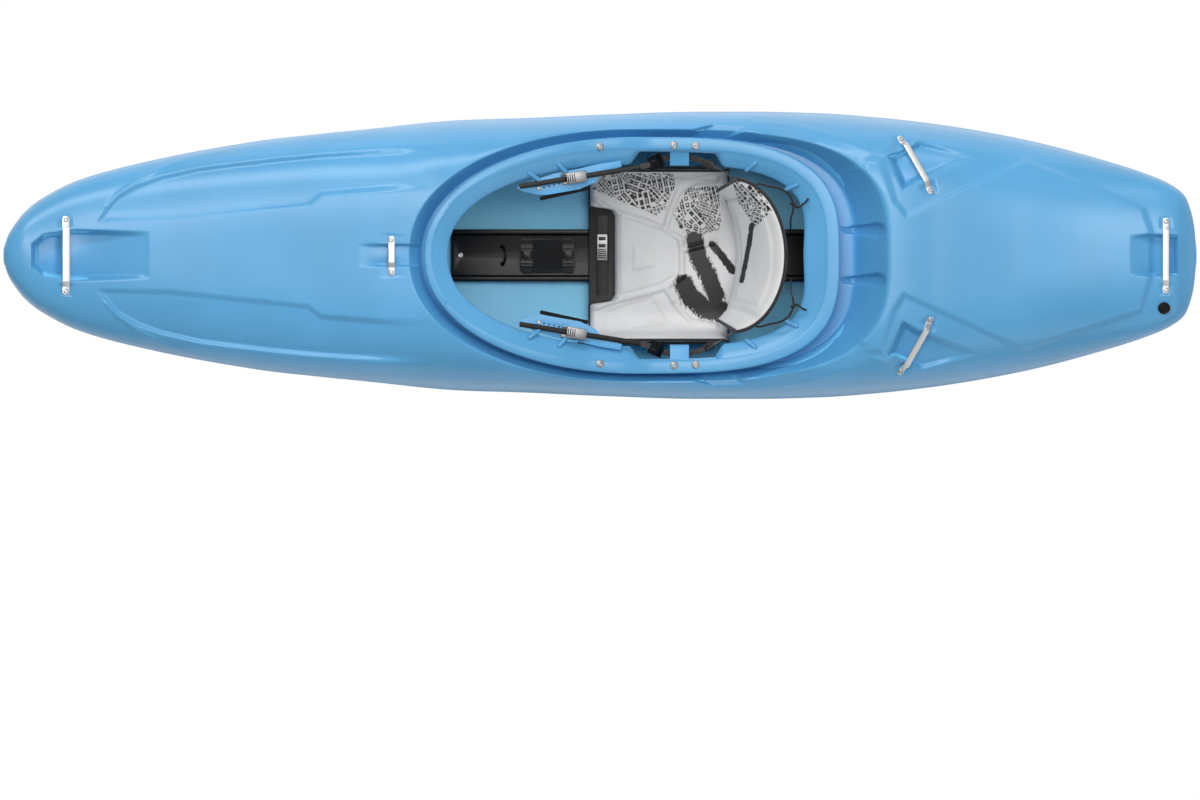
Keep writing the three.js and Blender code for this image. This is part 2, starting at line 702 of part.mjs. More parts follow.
// Drain plug frame
const drainPoint = deckPoint(DRAIN_PLACE_SHARE);
const drainNormal = deckNormalAt(drainPoint[0], drainPoint[1]);
const drainFrame = frameAt(drainPoint, drainNormal);

// Side bolt frame: on the shell's side, Z pointing outboard
function sideBoltFrame(side) {
  const y = side * (halfBeamAt(sideBolt.aft) - sidePocket.depth - landMargin / 2);
  return frameAt([sideBolt.aft, y, sideBolt.height], [0, side, 0]);
}

function sidePocketCut(side) {
  const ends = [-1, 1].map((end) => sideBolt.aft + (end * sidePocket.length) / 2);
  const ring = (z) => [
    ...ends.map((x) => [x, side * (halfBeamAt(x) - sidePocket.depth), z]),
    ...ends.reverse().map((x) => [x, side * (halfBeamAt(x) + cutOverrun), z]),
  ];
  const low = sideBolt.height - sidePocket.height / 2;
  const floor = ring(low);
  return loft([floor, floor.map(([x, y]) => [x, y, low + sidePocket.height])]);
}

function hullShell() {
  const cuts = [moat(0), cockpitOpening(), ...pockets(0)];
  let shell = cuts.reduce((solid, cut) => solid.subtract(cut), hullBody(0));
  shell = shell.subtract(innerSpace(0)).add(coaming());
  const holes = barNames.flatMap((name) => barHoles(barSeat(name)));
  [1, -1].forEach((side) => {
    const notchLow = [cockpitAft + hangerNotch.from, 0, 0];
    const notch = [[...notchLow], [cockpitAft + hangerNotch.to, side * hangerNotch.reach, 0]];
    const [low, high] = [0, 1].map((end) => notch.map((p) => p[1]).sort((a, b) => a - b)[end]);
    const level = rimHeightAt(cockpitAft + hangerNotch.to) - 2 * flangeDrop;
    holes.push(block([notch[0][0], low, level], [notch[1][0], high, hullHeight]));
    SCREW_AFT.forEach((x) => {
      const frame = rimScrewFrame(x, side);
      holes.push(rod(screwRadius + seatGap, -cutOverrun / 2, cutOverrun, frame, 8));
      holes.push(rod(screwHeadRadius + landMargin, 0, cutOverrun / 3, frame, 8));
    });
    holes.push(sidePocketCut(side));
    holes.push(rod(screwRadius + seatGap, -cutOverrun, cutOverrun, sideBoltFrame(side), 8));
    holes.push(rod(screwHeadRadius + landMargin, 0, cutOverrun, sideBoltFrame(side), 8));
  });
  holes.push(rod(drainRadius + seatGap, -cutOverrun / 2, cutOverrun, drainFrame, 16));
  holes.push(rod(drainHead.radius + landMargin, -landDepth, cutOverrun, drainFrame, 16));
  return holes.reduce((solid, cut) => solid.subtract(cut), shell);
}

function drainPlug() {
  const level = new THREE.Matrix4();
  const low = -landDepth + 2 * seatGap + sealThickness;
  const head = rod(drainHead.radius, low, low + drainHead.height, level, 16);
  const shank = rod(drainRadius, -drainShank, low + drainHead.height / 2, level, 16);
  const top = low + drainHead.height;
  const slot = block(
    [-drainSlot.length / 2, -drainSlot.width / 2, top - drainSlot.depth],
    [drainSlot.length / 2, drainSlot.width / 2, top + drainSlot.depth],
  );
  return head.add(shank).subtract(slot);
}

function drainSeal() {
  const level = new THREE.Matrix4();
  const low = -landDepth + seatGap;
  const ring = rod(drainRadius + sealBand, low, low + sealThickness, level, 16);
  return ring.subtract(rod(drainRadius + seatGap, -cutOverrun, cutOverrun, level, 16));
}

// Foot rails and the plate between them
function footRailSolid() {
  const from = sideBolt.aft - footRail.lead;
  const outer = footRailInner + footRail.thickness;
  const [low, high] = [-1, 1].map((end) => sideBolt.height + (end * footRail.height) / 2);
  const bar = block([from, footRailInner, low], [from + footRail.length, outer, high]);
  const stand = block(
    [sideBolt.aft - footRail.stand / 2, outer - footRail.thickness / 2, sideBolt.height - footRail.stand / 2],
    [sideBolt.aft + footRail.stand / 2, hullBeam / 2, sideBolt.height + footRail.stand / 2],
  );
  const bore = rod(screwRadius + seatGap, -cutOverrun, cutOverrun, sideBoltFrame(1), 8);
  return bar.add(stand).intersect(freeSpace).subtract(bore);
}

function sideBoltSolid() {
  const reach = halfBeamAt(sideBolt.aft) - sidePocket.depth - footRailInner - footRail.thickness / 3;
  return moved(screwSolid(reach), sideBoltFrame(1));
}

function footBulkhead() {
  const [x0, x1] = [footPlate.aft, footPlate.aft + footPlate.thickness];
  const half = footRailInner - footPlate.gap;
  const panel = block([x0, -half, footPlate.low], [x1, half, footPlate.high]);
  const slab = block([x0, -hullBeam, 0], [x0 + footPlate.lead, hullBeam, hullHeight]);
  const nose = hullBody(shellWall + footPlate.inset).intersect(slab);
  const outline = moved(nose, new THREE.Matrix4().makeScale(footPlate.thickness / footPlate.lead, 1, 1));
  const placed = moved(outline, new THREE.Matrix4().makeTranslation(
    x0 - (x0 * footPlate.thickness) / footPlate.lead, 0, 0,
  ));
  const earLow = sideBolt.height + footRail.height / 2 + footPlate.gap;
  const ears = [1, -1].map((side) => {
    const reach = half + footRail.thickness;
    const [y0, y1] = side > 0 ? [half - footEar, reach] : [-reach, -half + footEar];
    return block([x0, y0, earLow], [x1, y1, earLow + footEar]);
  });
  return ears.reduce((solid, ear) => solid.add(ear), panel).intersect(placed);
}

const pillar = ({ from, to }) => block(
  [from, -pillarWidth / 2, 0],
  [to, pillarWidth / 2, hullHeight],
).intersect(freeSpace);

// Floor spine: a tray with two rails, shaped to the floor below
function seatTrack() {
  const half = track.width / 2;
  const body = block([track.from, -half, 0], [track.to, half, track.top]);
  const tray = block(
    [track.from - cutOverrun, -half + track.rail, track.channel],
    [track.to + cutOverrun, half - track.rail, track.top + cutOverrun],
  );
  const bore = rod(trackBolt.shank + seatGap, 0, cutOverrun, frameAt([trackBolt.aft, 0, 0], [0, 0, 1]));
  return body.subtract(tray).intersect(freeSpace).subtract(bore);
}

function trackBoltSolid() {
  const level = new THREE.Matrix4();
  const head = rod(trackBolt.radius, track.channel + seatGap, track.channel + trackBolt.height, level, 6);
  return head.add(rod(trackBolt.shank, track.channel - trackBolt.height, track.channel + seatGap + trackBolt.bite, level));
}

function gearPouch() {
  const half = pouch.width / 2;
  const shape = new THREE.Shape();
  const [w, r] = [half, pouch.round];
  shape.moveTo(-w + r, 0);
  shape.lineTo(w - r, 0);
  shape.quadraticCurveTo(w, 0, w, r);
  shape.quadraticCurveTo(w, pouch.height, w - 2 * r, pouch.height);
  shape.lineTo(-w + 2 * r, pouch.height);
  shape.quadraticCurveTo(-w, pouch.height, -w, r);
  shape.quadraticCurveTo(-w, 0, -w + r, 0);
  const geometry = new THREE.ExtrudeGeometry(shape, {
    depth: pouch.to - pouch.from, bevelEnabled: false, curveSegments: 5,
  });
  return solidFromGeometry(geometry);
}

// Seat pan: a tray with round bilges, extruded along the boat
function seatPanSolid() {
  const { half, corner, side, thickness } = seatPan;
  const low = track.top + seatGap;
  const walk = (inset) => {
    const [w, r] = [half - inset, corner - inset];
    const arc = Array.from({ length: panArcSteps + 1 }, (_, i) => {
      const angle = (Math.PI / 2) * (i / panArcSteps);
      return [w - r + r * Math.sin(angle), low + corner - r * Math.cos(angle)];
    });
    return [...arc, [w, side]];
  };
  const outer = walk(0);
  const inner = walk(thickness);
  const flip = (points) => points.map(([y, z]) => [-y, z]).reverse();
  const outline = [...flip(outer), ...outer, ...inner.slice().reverse(), ...flip(inner).reverse()];
  const shape = new THREE.Shape(outline.map(([y, z]) => new THREE.Vector2(y, z)));
  return solidFromGeometry(new THREE.ExtrudeGeometry(shape, {
    depth: seatPan.to - seatPan.from, bevelEnabled: false,
  }));
}

// Distance from a point to a line through two others, within its ends
function distanceToEdge(point, from, to) {
  const line = new THREE.Line3(vec(...from, 0), vec(...to, 0));
  const target = vec(0, 0, 0);
  line.closestPointToPoint(vec(...point, 0), true, target);
  return target.distanceTo(vec(...point, 0));
}

function seatPadSolid() {
  const { from, to, half, recessTo, recessHalf, rise, edge } = seatPad;
  const floor = track.top + seatGap + seatPan.thickness + seatGap;
  const soften = half - recessHalf;
  const front = (y) => {
    const t = Math.min(1, Math.max(0, (Math.abs(y) - recessHalf + soften / 2) / soften));
    return mix(recessTo, from, t * t * (3 - 2 * t));
  };
  const panel = PANEL_OUTLINE_SHARES.map(([a, b]) => [mix(recessTo, to, a), b * half]);
  const base = (u, v) => {
    const y = mix(-half, half, v);
    return [mix(front(y), to, u), y, floor];
  };
  const raise = (u, v) => {
    const [x, y] = base(u, v);
    const gap = Math.min(...panel.slice(1).map((p, i) => distanceToEdge([x, y], panel[i], p)));
    const groove = padGroove.depth * Math.exp(-((gap / padGroove.width) ** 2) * 3);
    return [0, 0, crown(u, v, edge, rise) - groove];
  };
  return cushion(padColumns, padRows, base, raise);
}

// Hip pad: a cushion that follows the pan's round bilge and its side
function hipPadSolid() {
  const { from, to, turnFrom, above, rise, edge } = hipPad;
  const radius = seatPan.corner - seatPan.thickness - seatGap;
  const centre = [seatPan.half - seatPan.corner, track.top + seatGap + seatPan.corner];
  const rows = Array.from({ length: panArcSteps - turnFrom + 1 }, (_, i) => {
    const angle = (Math.PI / 2) * ((turnFrom + i) / panArcSteps);
    const [inward, down] = [Math.sin(angle), Math.cos(angle)];
    return { point: [centre[0] + radius * inward, centre[1] - radius * down], normal: [-inward, down] };
  });
  const last = rows.at(-1);
  above.forEach((height) => rows.push({ ...last, point: [last.point[0], height] }));
  const base = (u, v) => [mix(from, to, u), ...rows[Math.round(v * (rows.length - 1))].point];
  const raise = (u, v) => {
    const height = crown(u, v, edge, rise);
    return [0, ...rows[Math.round(v * (rows.length - 1))].normal.map((share) => share * height)];
  };
  return cushion(sidePadColumns, rows.length - 1, base, raise);
}

// A point under the rim on the starboard side at a place along the boat
function rimPoint(x, [oval, inset, drop]) {
  const ring = rimRing(oval, inset, drop);
  let k = 0;
  while (k < rimSegments / 2 - 1 && ring[k + 1][0] > x) k += 1;
  const t = (ring[k][0] - x) / (ring[k][0] - ring[k + 1][0]);
  return ring[k].map((value, axis) => mix(value, ring[k + 1][axis], t));
}

// A band that follows the coaming's underside through the points of a profile across it
function rimBand(from, to, profile, thickness) {
  const places = Array.from({ length: rimBandSteps + 1 }, (_, i) => mix(from, to, i / rimBandSteps));
  const strips = profile.slice(1).map((end, i) => loft(places.map((x) => {
    const [a, b] = [rimPoint(x, profile[i]), rimPoint(x, end)];
    return [a, b, [b[0], b[1], b[2] - thickness], [a[0], a[1], a[2] - thickness]];
  })));
  return strips.reduce((band, strip) => band.add(strip));
}

// Seat hanger: a flange under the lip and a leg down to the pan
function seatHanger() {
  const { aft, width, thickness, flange, legReach, footHeight, stepShares } = hanger;
  const under = lipThickness + flangeGap;
  const profile = [[rimOval, flangeFrom, under], [rimOval, hangerReach, under]];
  const band = rimBand(aft - flange.lead, aft + flange.trail, profile, thickness);
  const top = rimPoint(aft + width / 2, [rimOval, hangerReach, under + thickness]);
  const low = top[2] - 2 * thickness;
  const wall = seatPan.half + seatGap + thickness / 2;
  const path = [
    [aft, top[1] + thickness, mix(low, top[2], stepShares[0])],
    [aft, hangerNotch.reach, mix(low, top[2], stepShares[1])],
    [aft, legReach, low],
    [aft, wall + thickness / 2, low - thickness],
    [aft, wall, seatPan.side],
    [aft, wall, footHeight],
  ];
  const body = band.add(ribbon(path, [[1, 0, 0]], width, thickness));
  return SCREW_AFT.slice(1).reduce((solid, x) => solid.subtract(
    rod(screwRadius + seatGap, -cutOverrun, cutOverrun, rimScrewFrame(x, 1), 8),
  ), body);
}

// Backband: a band curved round the paddler's back
function backbandFace(u, v) {
  const b = backband;
  const angle = mix(-backbandSweepAngle, backbandSweepAngle, u);
  const bend = 2 * u - 1;
  return [
    mix(b.lowAft + b.lowReach * Math.cos(angle), b.topAft + b.topReach * Math.cos(angle), v),
    mix(b.lowHalf, b.topHalf, v) * Math.sin(angle),
    mix(b.lowHeight + b.lowLift * bend * bend, b.topHeight - b.topSag * bend * bend, v),
  ];
}

function backbandSolid() {
  const { edge, rise, forwardShare, leanShare } = backband;
  const raise = (u, v) => {
    const angle = mix(-backbandSweepAngle, backbandSweepAngle, u);
    const height = crown(u, v, edge, rise);
    return [-height * Math.cos(angle) * forwardShare, -height * Math.sin(angle),
      height * Math.cos(angle) * leanShare];
  };
  return cushion(backbandColumns, backbandRows, backbandFace, raise);
}

// A place just off the back of the backband, with the direction up its face
function offBackband([u, v], gap, step = 0.01) {
  const at = vec(...backbandFace(u, v));
  const along = vec(...backbandFace(u + step, v)).sub(at);
  const up = vec(...backbandFace(u, v + step)).sub(at).normalize();
  const away = along.cross(up).normalize();
  return { point: at.addScaledVector(away, gap).toArray(), up: up.toArray() };
}

const strapRun = vec(...strapLine.rear).sub(vec(...strapLine.front));

function ladderStrap() {
  return ribbon([strapLine.front, strapLine.rear], [[0, 1, 0]], strapWidth, strapThickness);
}

function webbing() {
  const across = WEBBING_ROUTE.map((_, i) => {
    const t = Math.min(1, Math.max(0, (i - webbingTurn.from) / (webbingTurn.to - webbingTurn.from)));
    return [0, Math.cos((Math.PI / 2) * t), Math.sin((Math.PI / 2) * t)];
  });
  const ends = WEBBING_END_SHARES.map((place) => offBackband(place, seatGap + webbingThickness / 2));
  return ribbon(
    [...WEBBING_ROUTE, ...ends.map((end) => end.point)],
    [...across, ...ends.map((end) => end.up)],
    strapWidth,
    webbingThickness,
  );
}

// Thigh brace frame on the starboard side: origin at its screw, X along its row of holes
const braceFrame = frameAt(
  [...brace.screw, brace.height - brace.slope * (brace.screw[0] - brace.front[0])],
  [brace.slope, 0, 1],
  [Math.cos(brace.turn), Math.sin(brace.turn), -brace.slope],
);

function thighBrace() {
  const level = new THREE.Matrix4();
  const holes = Array.from({ length: brace.holes }, (_, i) => rod(
    brace.holeRadius, -cutOverrun, cutOverrun, level.clone().setPosition(i * brace.holePitch, 0, 0), 8,
  ));
  const blank = plate(BRACE_OUTLINE, brace.thickness);
  return moved(holes.reduce((solid, hole) => solid.subtract(hole), blank), braceFrame);
}

// Bracket under the brace: a rail, an arm out to the coaming and a flange under its lip
function thighBracket() {
  const { from, to, width, thickness, arm } = bracket;
  const rail = moved(
    block([from, -width / 2, -seatGap - thickness], [to, width / 2, -seatGap]),
    braceFrame,
  );
  const root = vec(to - arm.width / 2, 0, -seatGap - 1.5 * thickness + arm.bite).applyMatrix4(braceFrame);
  const under = lipThickness + flangeGap;
  const edgeUnder = flangeDrop + flangeThickness + 2 * flangeGap;
  const flangeLine = [[rimOval, flangeFrom, under], [creaseOval, lipRound, under]];
  const armLine = [[creaseOval, 0, under], [openingOval, 0, edgeUnder], [openingOval, thickness, edgeUnder]];
  const [fore, aft] = [root.x - arm.width / 2, root.x + arm.width / 2];
  const flange = rimBand(fore, SCREW_AFT[0] + arm.width / 2, flangeLine, thickness);
  const band = rimBand(fore, aft, armLine, thickness);
  const edge = rimPoint(root.x, [openingOval, thickness, edgeUnder + thickness / 2]);
  const path = [
    edge,
    [root.x, mix(edge[1], root.y + width / 2, arm.stepShare), edge[2]],
    [root.x, root.y + width / 2, root.z],
    [root.x, root.y - width / 2, root.z],
  ];
  const slope = (rimHeightAt(aft) - rimHeightAt(fore)) / arm.width;
  const across = [[1, 0, slope], [1, 0, slope], [1, 0, -brace.slope]];
  const bore = rod(screwRadius + seatGap, -cutOverrun, cutOverrun, rimScrewFrame(SCREW_AFT[0], 1), 8);
  return [flange, band, ribbon(path, across, arm.width, thickness)]
    .reduce((solid, piece) => solid.add(piece), rail)
    .subtract(bore);
}

function thighPadSolid() {
  const { from, to, inner, outer, thickness } = thighPad;
  const base = (u, v) => [mix(from, to, u), mix(inner, outer, v), -seatGap];
  const raise = (u, v) => [0, 0, -crown(u, v, thickness / 3, thickness)];
  return moved(cushion(sidePadColumns, thighPadRows, base, raise), braceFrame);
}

// Ratchet on the brace: a channel for the strap, with a lever over it
const ratchetFrame = frameAt(
  vec(ratchet.aft, ratchet.across, brace.thickness + seatGap).applyMatrix4(braceFrame).toArray(),
  [brace.slope, 0, 1],
  [strapRun.x, strapRun.y, -brace.slope * strapRun.x],
);

function ratchetBody() {
  const { length, width, base, cheek, height, lead } = ratchet;
  const [l, w] = [length / 2, width / 2];
  const body = block([-l, -w, 0], [l, w, height]);
  const channel = block([-length, -w + cheek, base], [length, w - cheek, cutOverrun]);
  const trim = block([-length, -width, base + height / 3], [-l + lead, width, cutOverrun]);
  return moved(body.subtract(channel).subtract(trim), ratchetFrame);
}

function ratchetLeverSolid() {
  const { length, thickness } = ratchetLever;
  const low = ratchet.height + seatGap;
  const lever = block([ratchet.length / 2 - length, -ratchet.width / 2, low],
    [ratchet.length / 2, ratchet.width / 2, low + thickness]);
  return moved(lever, ratchetFrame);
}

// Leg lifter strap, its ratchet and lever in the recess at the front of the seat
const panFloor = track.top + seatGap + seatPan.thickness;
function lifterStrapSolid() {
  const z = panFloor + seatGap + lifterStrap.thickness / 2;
  const points = [-1, 1].map((end) => [lifterStrap.aft, end * lifterStrap.half, z]);
  return ribbon(points, [[1, 0, 0]], lifterStrap.width, lifterStrap.thickness);
}
const lifterBase = panFloor + 2 * seatGap + lifterStrap.thickness;
function lifterRatchetSolid() {
  const { from, to, width, height } = lifterRatchet;
  return block(
    [lifterStrap.aft - width / 2, from, lifterBase],
    [lifterStrap.aft + width / 2, to, lifterBase + height],
  );
}
function lifterLeverSolid() {
  const { from, to, width, height } = lifterRatchet;
  const low = lifterBase + height + seatGap;
  return block(
    [lifterStrap.aft - width / 2, from, low],
    [lifterStrap.aft + width / 2, to, low + lifterLever.thickness],
  );
}

// Retention cord: a thin round tube along its hand-placed route
function cordSolid() {
  const curve = new THREE.CatmullRomCurve3(CORD_ROUTE.map((point) => vec(...point)));
  const section = Array.from({ length: cordSides }, (_, i) => {
    const angle = (2 * Math.PI * i) / cordSides;
    return new THREE.Vector2(cordRadius * Math.cos(angle), cordRadius * Math.sin(angle));
  });
  return solidFromGeometry(new THREE.ExtrudeGeometry(new THREE.Shape(section), {
    steps: cordSteps, extrudePath: curve, bevelEnabled: false,
  }));
}

// Finishes
const finish = (color, roughness, metalness = 0) => () => new THREE.MeshStandardMaterial({
  color, roughness, metalness,
});
const hullBlue = finish(0x5eaadd, 0.38);
const alloy = finish(0xc9cbcc, 0.34, 0.9);
const steel = finish(0x9a9da0, 0.3, 1);
const blackPlastic = finish(0x111214, 0.35);
const blackFabric = finish(0x1b1c1e, 0.85);
const whiteVinyl = finish(0xdedede, 0.6);
const greyWebbing = finish(0x55534f, 0.8);
const greyFoam = finish(0x3c3e40, 0.95);
const silverPlastic = finish(0xb9bcc0, 0.35, 0.6);

// Assembly
const kayak = new THREE.Group();
function addPiece(name, solid, material, frame) {
  const mesh = new THREE.Mesh(geometryFromSolid(solid), material());
  mesh.name = name;
  if (frame) frame.decompose(mesh.position, mesh.quaternion, mesh.scale);
  kayak.add(mesh);
}
const acrossKeel = new THREE.Matrix4().makeScale(1, -1, 1);
const sides = [['starboard', (solid) => solid], ['port', (solid) => moved(solid, acrossKeel)]];

addPiece('hull_shell', hullShell(), hullBlue);
barNames.forEach((name) => {
  const seat = barSeat(name);
  addPiece(name, barSolid(seat), alloy, seat.frame);
  screwPlaces(seat).forEach((x, i) => {
    const frame = seat.frame.clone().multiply(new THREE.Matrix4().makeTranslation(
      x, 0, barThickness + seatGap,
    ));
    addPiece(`${name}_screw_${i + 1}`, screwSolid(barThickness + shellWall + screwTail), steel, frame);
  });
});
addPiece('drain_seal', drainSeal(), blackPlastic, drainFrame);
addPiece('drain_plug', drainPlug(), blackPlastic, drainFrame);
addPiece('front_foam_pillar', pillar(frontPillar), greyFoam);
addPiece('rear_foam_pillar', pillar(rearPillar), greyFoam);
addPiece('seat_track', seatTrack(), blackPlastic);
addPiece('track_bolt', trackBoltSolid(), steel, new THREE.Matrix4().setPosition(trackBolt.aft, 0, 0));
addPiece('gear_pouch', gearPouch(), blackFabric,
  new THREE.Matrix4().makeBasis(vec(0, 1, 0), vec(0, 0, 1), vec(1, 0, 0))
    .setPosition(pouch.from, 0, track.channel + seatGap));
addPiece('seat_pan', seatPanSolid(), blackPlastic,
  new THREE.Matrix4().makeBasis(vec(0, 1, 0), vec(0, 0, 1), vec(1, 0, 0)).setPosition(seatPan.from, 0, 0));
addPiece('seat_pad', seatPadSolid(), whiteVinyl);
addPiece('lifter_strap', lifterStrapSolid(), blackPlastic);
addPiece('lifter_ratchet', lifterRatchetSolid(), silverPlastic);
addPiece('lifter_lever', lifterLeverSolid(), silverPlastic);
addPiece('backband', backbandSolid(), whiteVinyl);
addPiece('foot_bulkhead', footBulkhead(), blackPlastic);
const sidePieces = [
  ['side_bolt', sideBoltSolid(), steel],
  ['foot_rail', footRailSolid(), alloy],
  ['hip_pad', hipPadSolid(), whiteVinyl],
  ['seat_hanger', seatHanger(), hullBlue],
  ['backband_webbing', webbing(), greyWebbing],
  ['ladder_strap', ladderStrap(), blackPlastic],
  ['thigh_bracket', thighBracket(), blackPlastic],
  ['thigh_brace', thighBrace(), hullBlue],
  ['thigh_pad', thighPadSolid(), blackFabric],
  ['strap_ratchet', ratchetBody(), silverPlastic],
  ['ratchet_lever', ratchetLeverSolid(), silverPlastic],
  ['retention_cord', cordSolid(), blackFabric],
];
sides.forEach(([word, place], i) => {
  sidePieces.forEach(([name, solid, material]) => addPiece(`${name}_${word}`, place(solid), material));
  SCREW_AFT.forEach((x, number) => {
    const frame = rimScrewFrame(x, i ? -1 : 1);
    addPiece(`rim_screw_${word}_${number + 1}`, screwSolid(rimScrewDepth), steel, frame);
  });
});

export default kayak;
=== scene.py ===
"""A river-running whitewater kayak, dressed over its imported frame.

All sizes are metres in the frame's own axes: the bow points to -X, starboard
is +Y, up is +Z and the origin lies on the ground under the middle of the hull.
"""
import contextlib
import math

import bmesh
import bpy
import numpy as np
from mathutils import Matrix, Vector


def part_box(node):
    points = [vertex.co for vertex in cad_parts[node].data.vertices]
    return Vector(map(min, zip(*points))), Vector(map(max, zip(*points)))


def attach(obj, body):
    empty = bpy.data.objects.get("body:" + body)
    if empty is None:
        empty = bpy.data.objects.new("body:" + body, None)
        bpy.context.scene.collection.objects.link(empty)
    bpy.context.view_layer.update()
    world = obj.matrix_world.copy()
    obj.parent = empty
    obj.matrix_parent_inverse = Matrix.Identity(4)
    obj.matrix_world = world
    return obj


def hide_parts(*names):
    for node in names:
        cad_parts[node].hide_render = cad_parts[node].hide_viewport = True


bl_info = {
    "name": "Whitewater Kayak",
    "version": (1, 0, 0),
    "blender": (4, 5, 0),
    "location": "3D View > Sidebar > Kayak",
    "description": "Builds the skin, seat, straps and fittings of a whitewater kayak",
    "category": "Add Mesh",
}

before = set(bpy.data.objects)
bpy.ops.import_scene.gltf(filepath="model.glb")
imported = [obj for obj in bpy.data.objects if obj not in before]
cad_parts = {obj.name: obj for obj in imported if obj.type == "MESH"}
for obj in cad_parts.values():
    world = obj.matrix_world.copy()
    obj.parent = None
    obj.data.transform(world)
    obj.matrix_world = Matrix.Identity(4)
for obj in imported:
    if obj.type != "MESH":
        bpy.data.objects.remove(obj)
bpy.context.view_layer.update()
SIDES = (("starboard", 1.0), ("port", -1.0))

# Hull lines, the same shares as the solid: place along the hull, half beam, keel
# height, height of the widest edge and height of the deck's crown
LINE_SHARES = np.array([
    [0.000, 0.046, 0.915, 0.937, 0.958], [0.0034, 0.130, 0.847, 0.920, 0.979],
    [0.0101, 0.221, 0.762, 0.885, 0.995], [0.0168, 0.291, 0.709, 0.852, 1.000],
    [0.0302, 0.382, 0.630, 0.812, 0.984], [0.0638, 0.523, 0.487, 0.725, 0.931],
    [0.1141, 0.639, 0.328, 0.647, 0.905], [0.1812, 0.751, 0.190, 0.536, 0.889],
    [0.2651, 0.853, 0.090, 0.422, 0.905], [0.3490, 0.919, 0.032, 0.288, 0.925],
    [0.3884, 0.943, 0.020, 0.235, 0.894], [0.4329, 0.954, 0.011, 0.206, 0.868],
    [0.5042, 0.980, 0.000, 0.180, 0.780], [0.5856, 1.000, 0.000, 0.172, 0.679],
    [0.6300, 1.000, 0.009, 0.172, 0.658], [0.6846, 0.989, 0.032, 0.176, 0.823],
    [0.7349, 0.958, 0.058, 0.185, 0.840], [0.7852, 0.909, 0.100, 0.207, 0.794],
    [0.8523, 0.811, 0.185, 0.268, 0.720], [0.9195, 0.667, 0.302, 0.362, 0.672],
    [0.9698, 0.526, 0.429, 0.505, 0.667], [0.9832, 0.465, 0.470, 0.530, 0.656],
    [0.9908, 0.407, 0.497, 0.538, 0.619], [0.9950, 0.323, 0.519, 0.545, 0.593],
    [0.9983, 0.207, 0.534, 0.548, 0.566], [1.0000, 0.060, 0.545, 0.550, 0.555],
])
DECK_SQUARENESS_SHARES = np.array([
    [0.00, 2.2], [0.064, 2.8], [0.18, 3.8], [0.35, 4.6], [0.43, 6.0], [0.50, 8.0],
    [0.63, 8.0], [0.69, 6.0], [0.76, 5.4], [0.85, 3.8], [0.97, 2.4], [1.00, 2.2],
])
RIM_HEIGHT_SHARES = np.array([
    [0.350, 0.928], [0.362, 0.936], [0.393, 0.902], [0.433, 0.847], [0.466, 0.798],
    [0.492, 0.747], [0.517, 0.714], [0.546, 0.663], [0.584, 0.640], [0.617, 0.635],
    [0.660, 0.645], [0.705, 0.662],
])
HULL_LENGTH, HULL_BEAM, HULL_HEIGHT = 2.7, 0.645, 0.428
WALL = 0.006
BOTTOM_FLAT = 0.003
COCKPIT_AFT = 0.0906
# Ovals about the cockpit's centre: front, rear and side reach, front and rear power
RIM_OVAL = (0.489, 0.453, 0.268, 2.1, 3.1)
CREASE_OVAL = (0.471, 0.423, 0.241, 2.15, 3.2)
OPENING_OVAL = (0.435, 0.381, 0.206, 2.2, 3.4)
MOAT_OVAL = (0.528, 0.576, 0.288, 2.2, 3.2)
# Coaming profile from the moat's floor to the inside: oval, inset and drop below the rim
COAMING_PROFILE = [
    (RIM_OVAL, 0.010, 0.052), (RIM_OVAL, 0.010, 0.046), (RIM_OVAL, 0.010, 0.030),
    (RIM_OVAL, 0.010, 0.012), (RIM_OVAL, 0.009, 0.0095), (RIM_OVAL, 0.006, 0.009),
    (RIM_OVAL, 0.002, 0.009), (RIM_OVAL, 0.0005, 0.0083), (RIM_OVAL, 0.0, 0.007),
    (RIM_OVAL, 0.0, 0.0035), (RIM_OVAL, 0.0009, 0.0012), (RIM_OVAL, 0.003, 0.0002),
    (RIM_OVAL, 0.006, 0.0), (RIM_OVAL, 0.014, -0.0003), (CREASE_OVAL, -0.004, 0.0),
    (CREASE_OVAL, -0.001, 0.0004), (CREASE_OVAL, 0.001, 0.0022), (CREASE_OVAL, 0.003, 0.0034),
    (CREASE_OVAL, 0.008, 0.0052), (CREASE_OVAL, 0.018, 0.011), (OPENING_OVAL, -0.008, 0.0165),
    (OPENING_OVAL, -0.003, 0.0195), (OPENING_OVAL, -0.0006, 0.0225), (OPENING_OVAL, 0.0, 0.025),
    (OPENING_OVAL, -0.001, 0.0272), (OPENING_OVAL, -0.004, 0.028), (OPENING_OVAL, -0.010, 0.0262),
    (CREASE_OVAL, 0.006, 0.010), (RIM_OVAL, 0.0165, 0.009), (RIM_OVAL, 0.0145, 0.012),
    (RIM_OVAL, 0.0145, 0.030), (RIM_OVAL, 0.0145, 0.055),
]
# Row numbers of the profile that the hanger notch pulls outwards
NOTCH_ROWS = range(18, 27)
NOTCH_SPAN = (0.064, 0.283, 0.032)
NOTCH_REACH = 0.236
# The notch's draft from row to row, and how far from the keel line it acts
NOTCH_DRAFT, NOTCH_FROM = 0.0002, 0.1
# Bulge of the opening's rear: depth, reach across and the rows over which it sets in
OPENING_BULGE, BULGE_ROWS = (0.011, 0.16), (18, 21)
MOAT_DEPTH = 0.052
MOAT_FLOOR_SHARE, MOAT_BRIM_SHARE = 0.30, 0.94

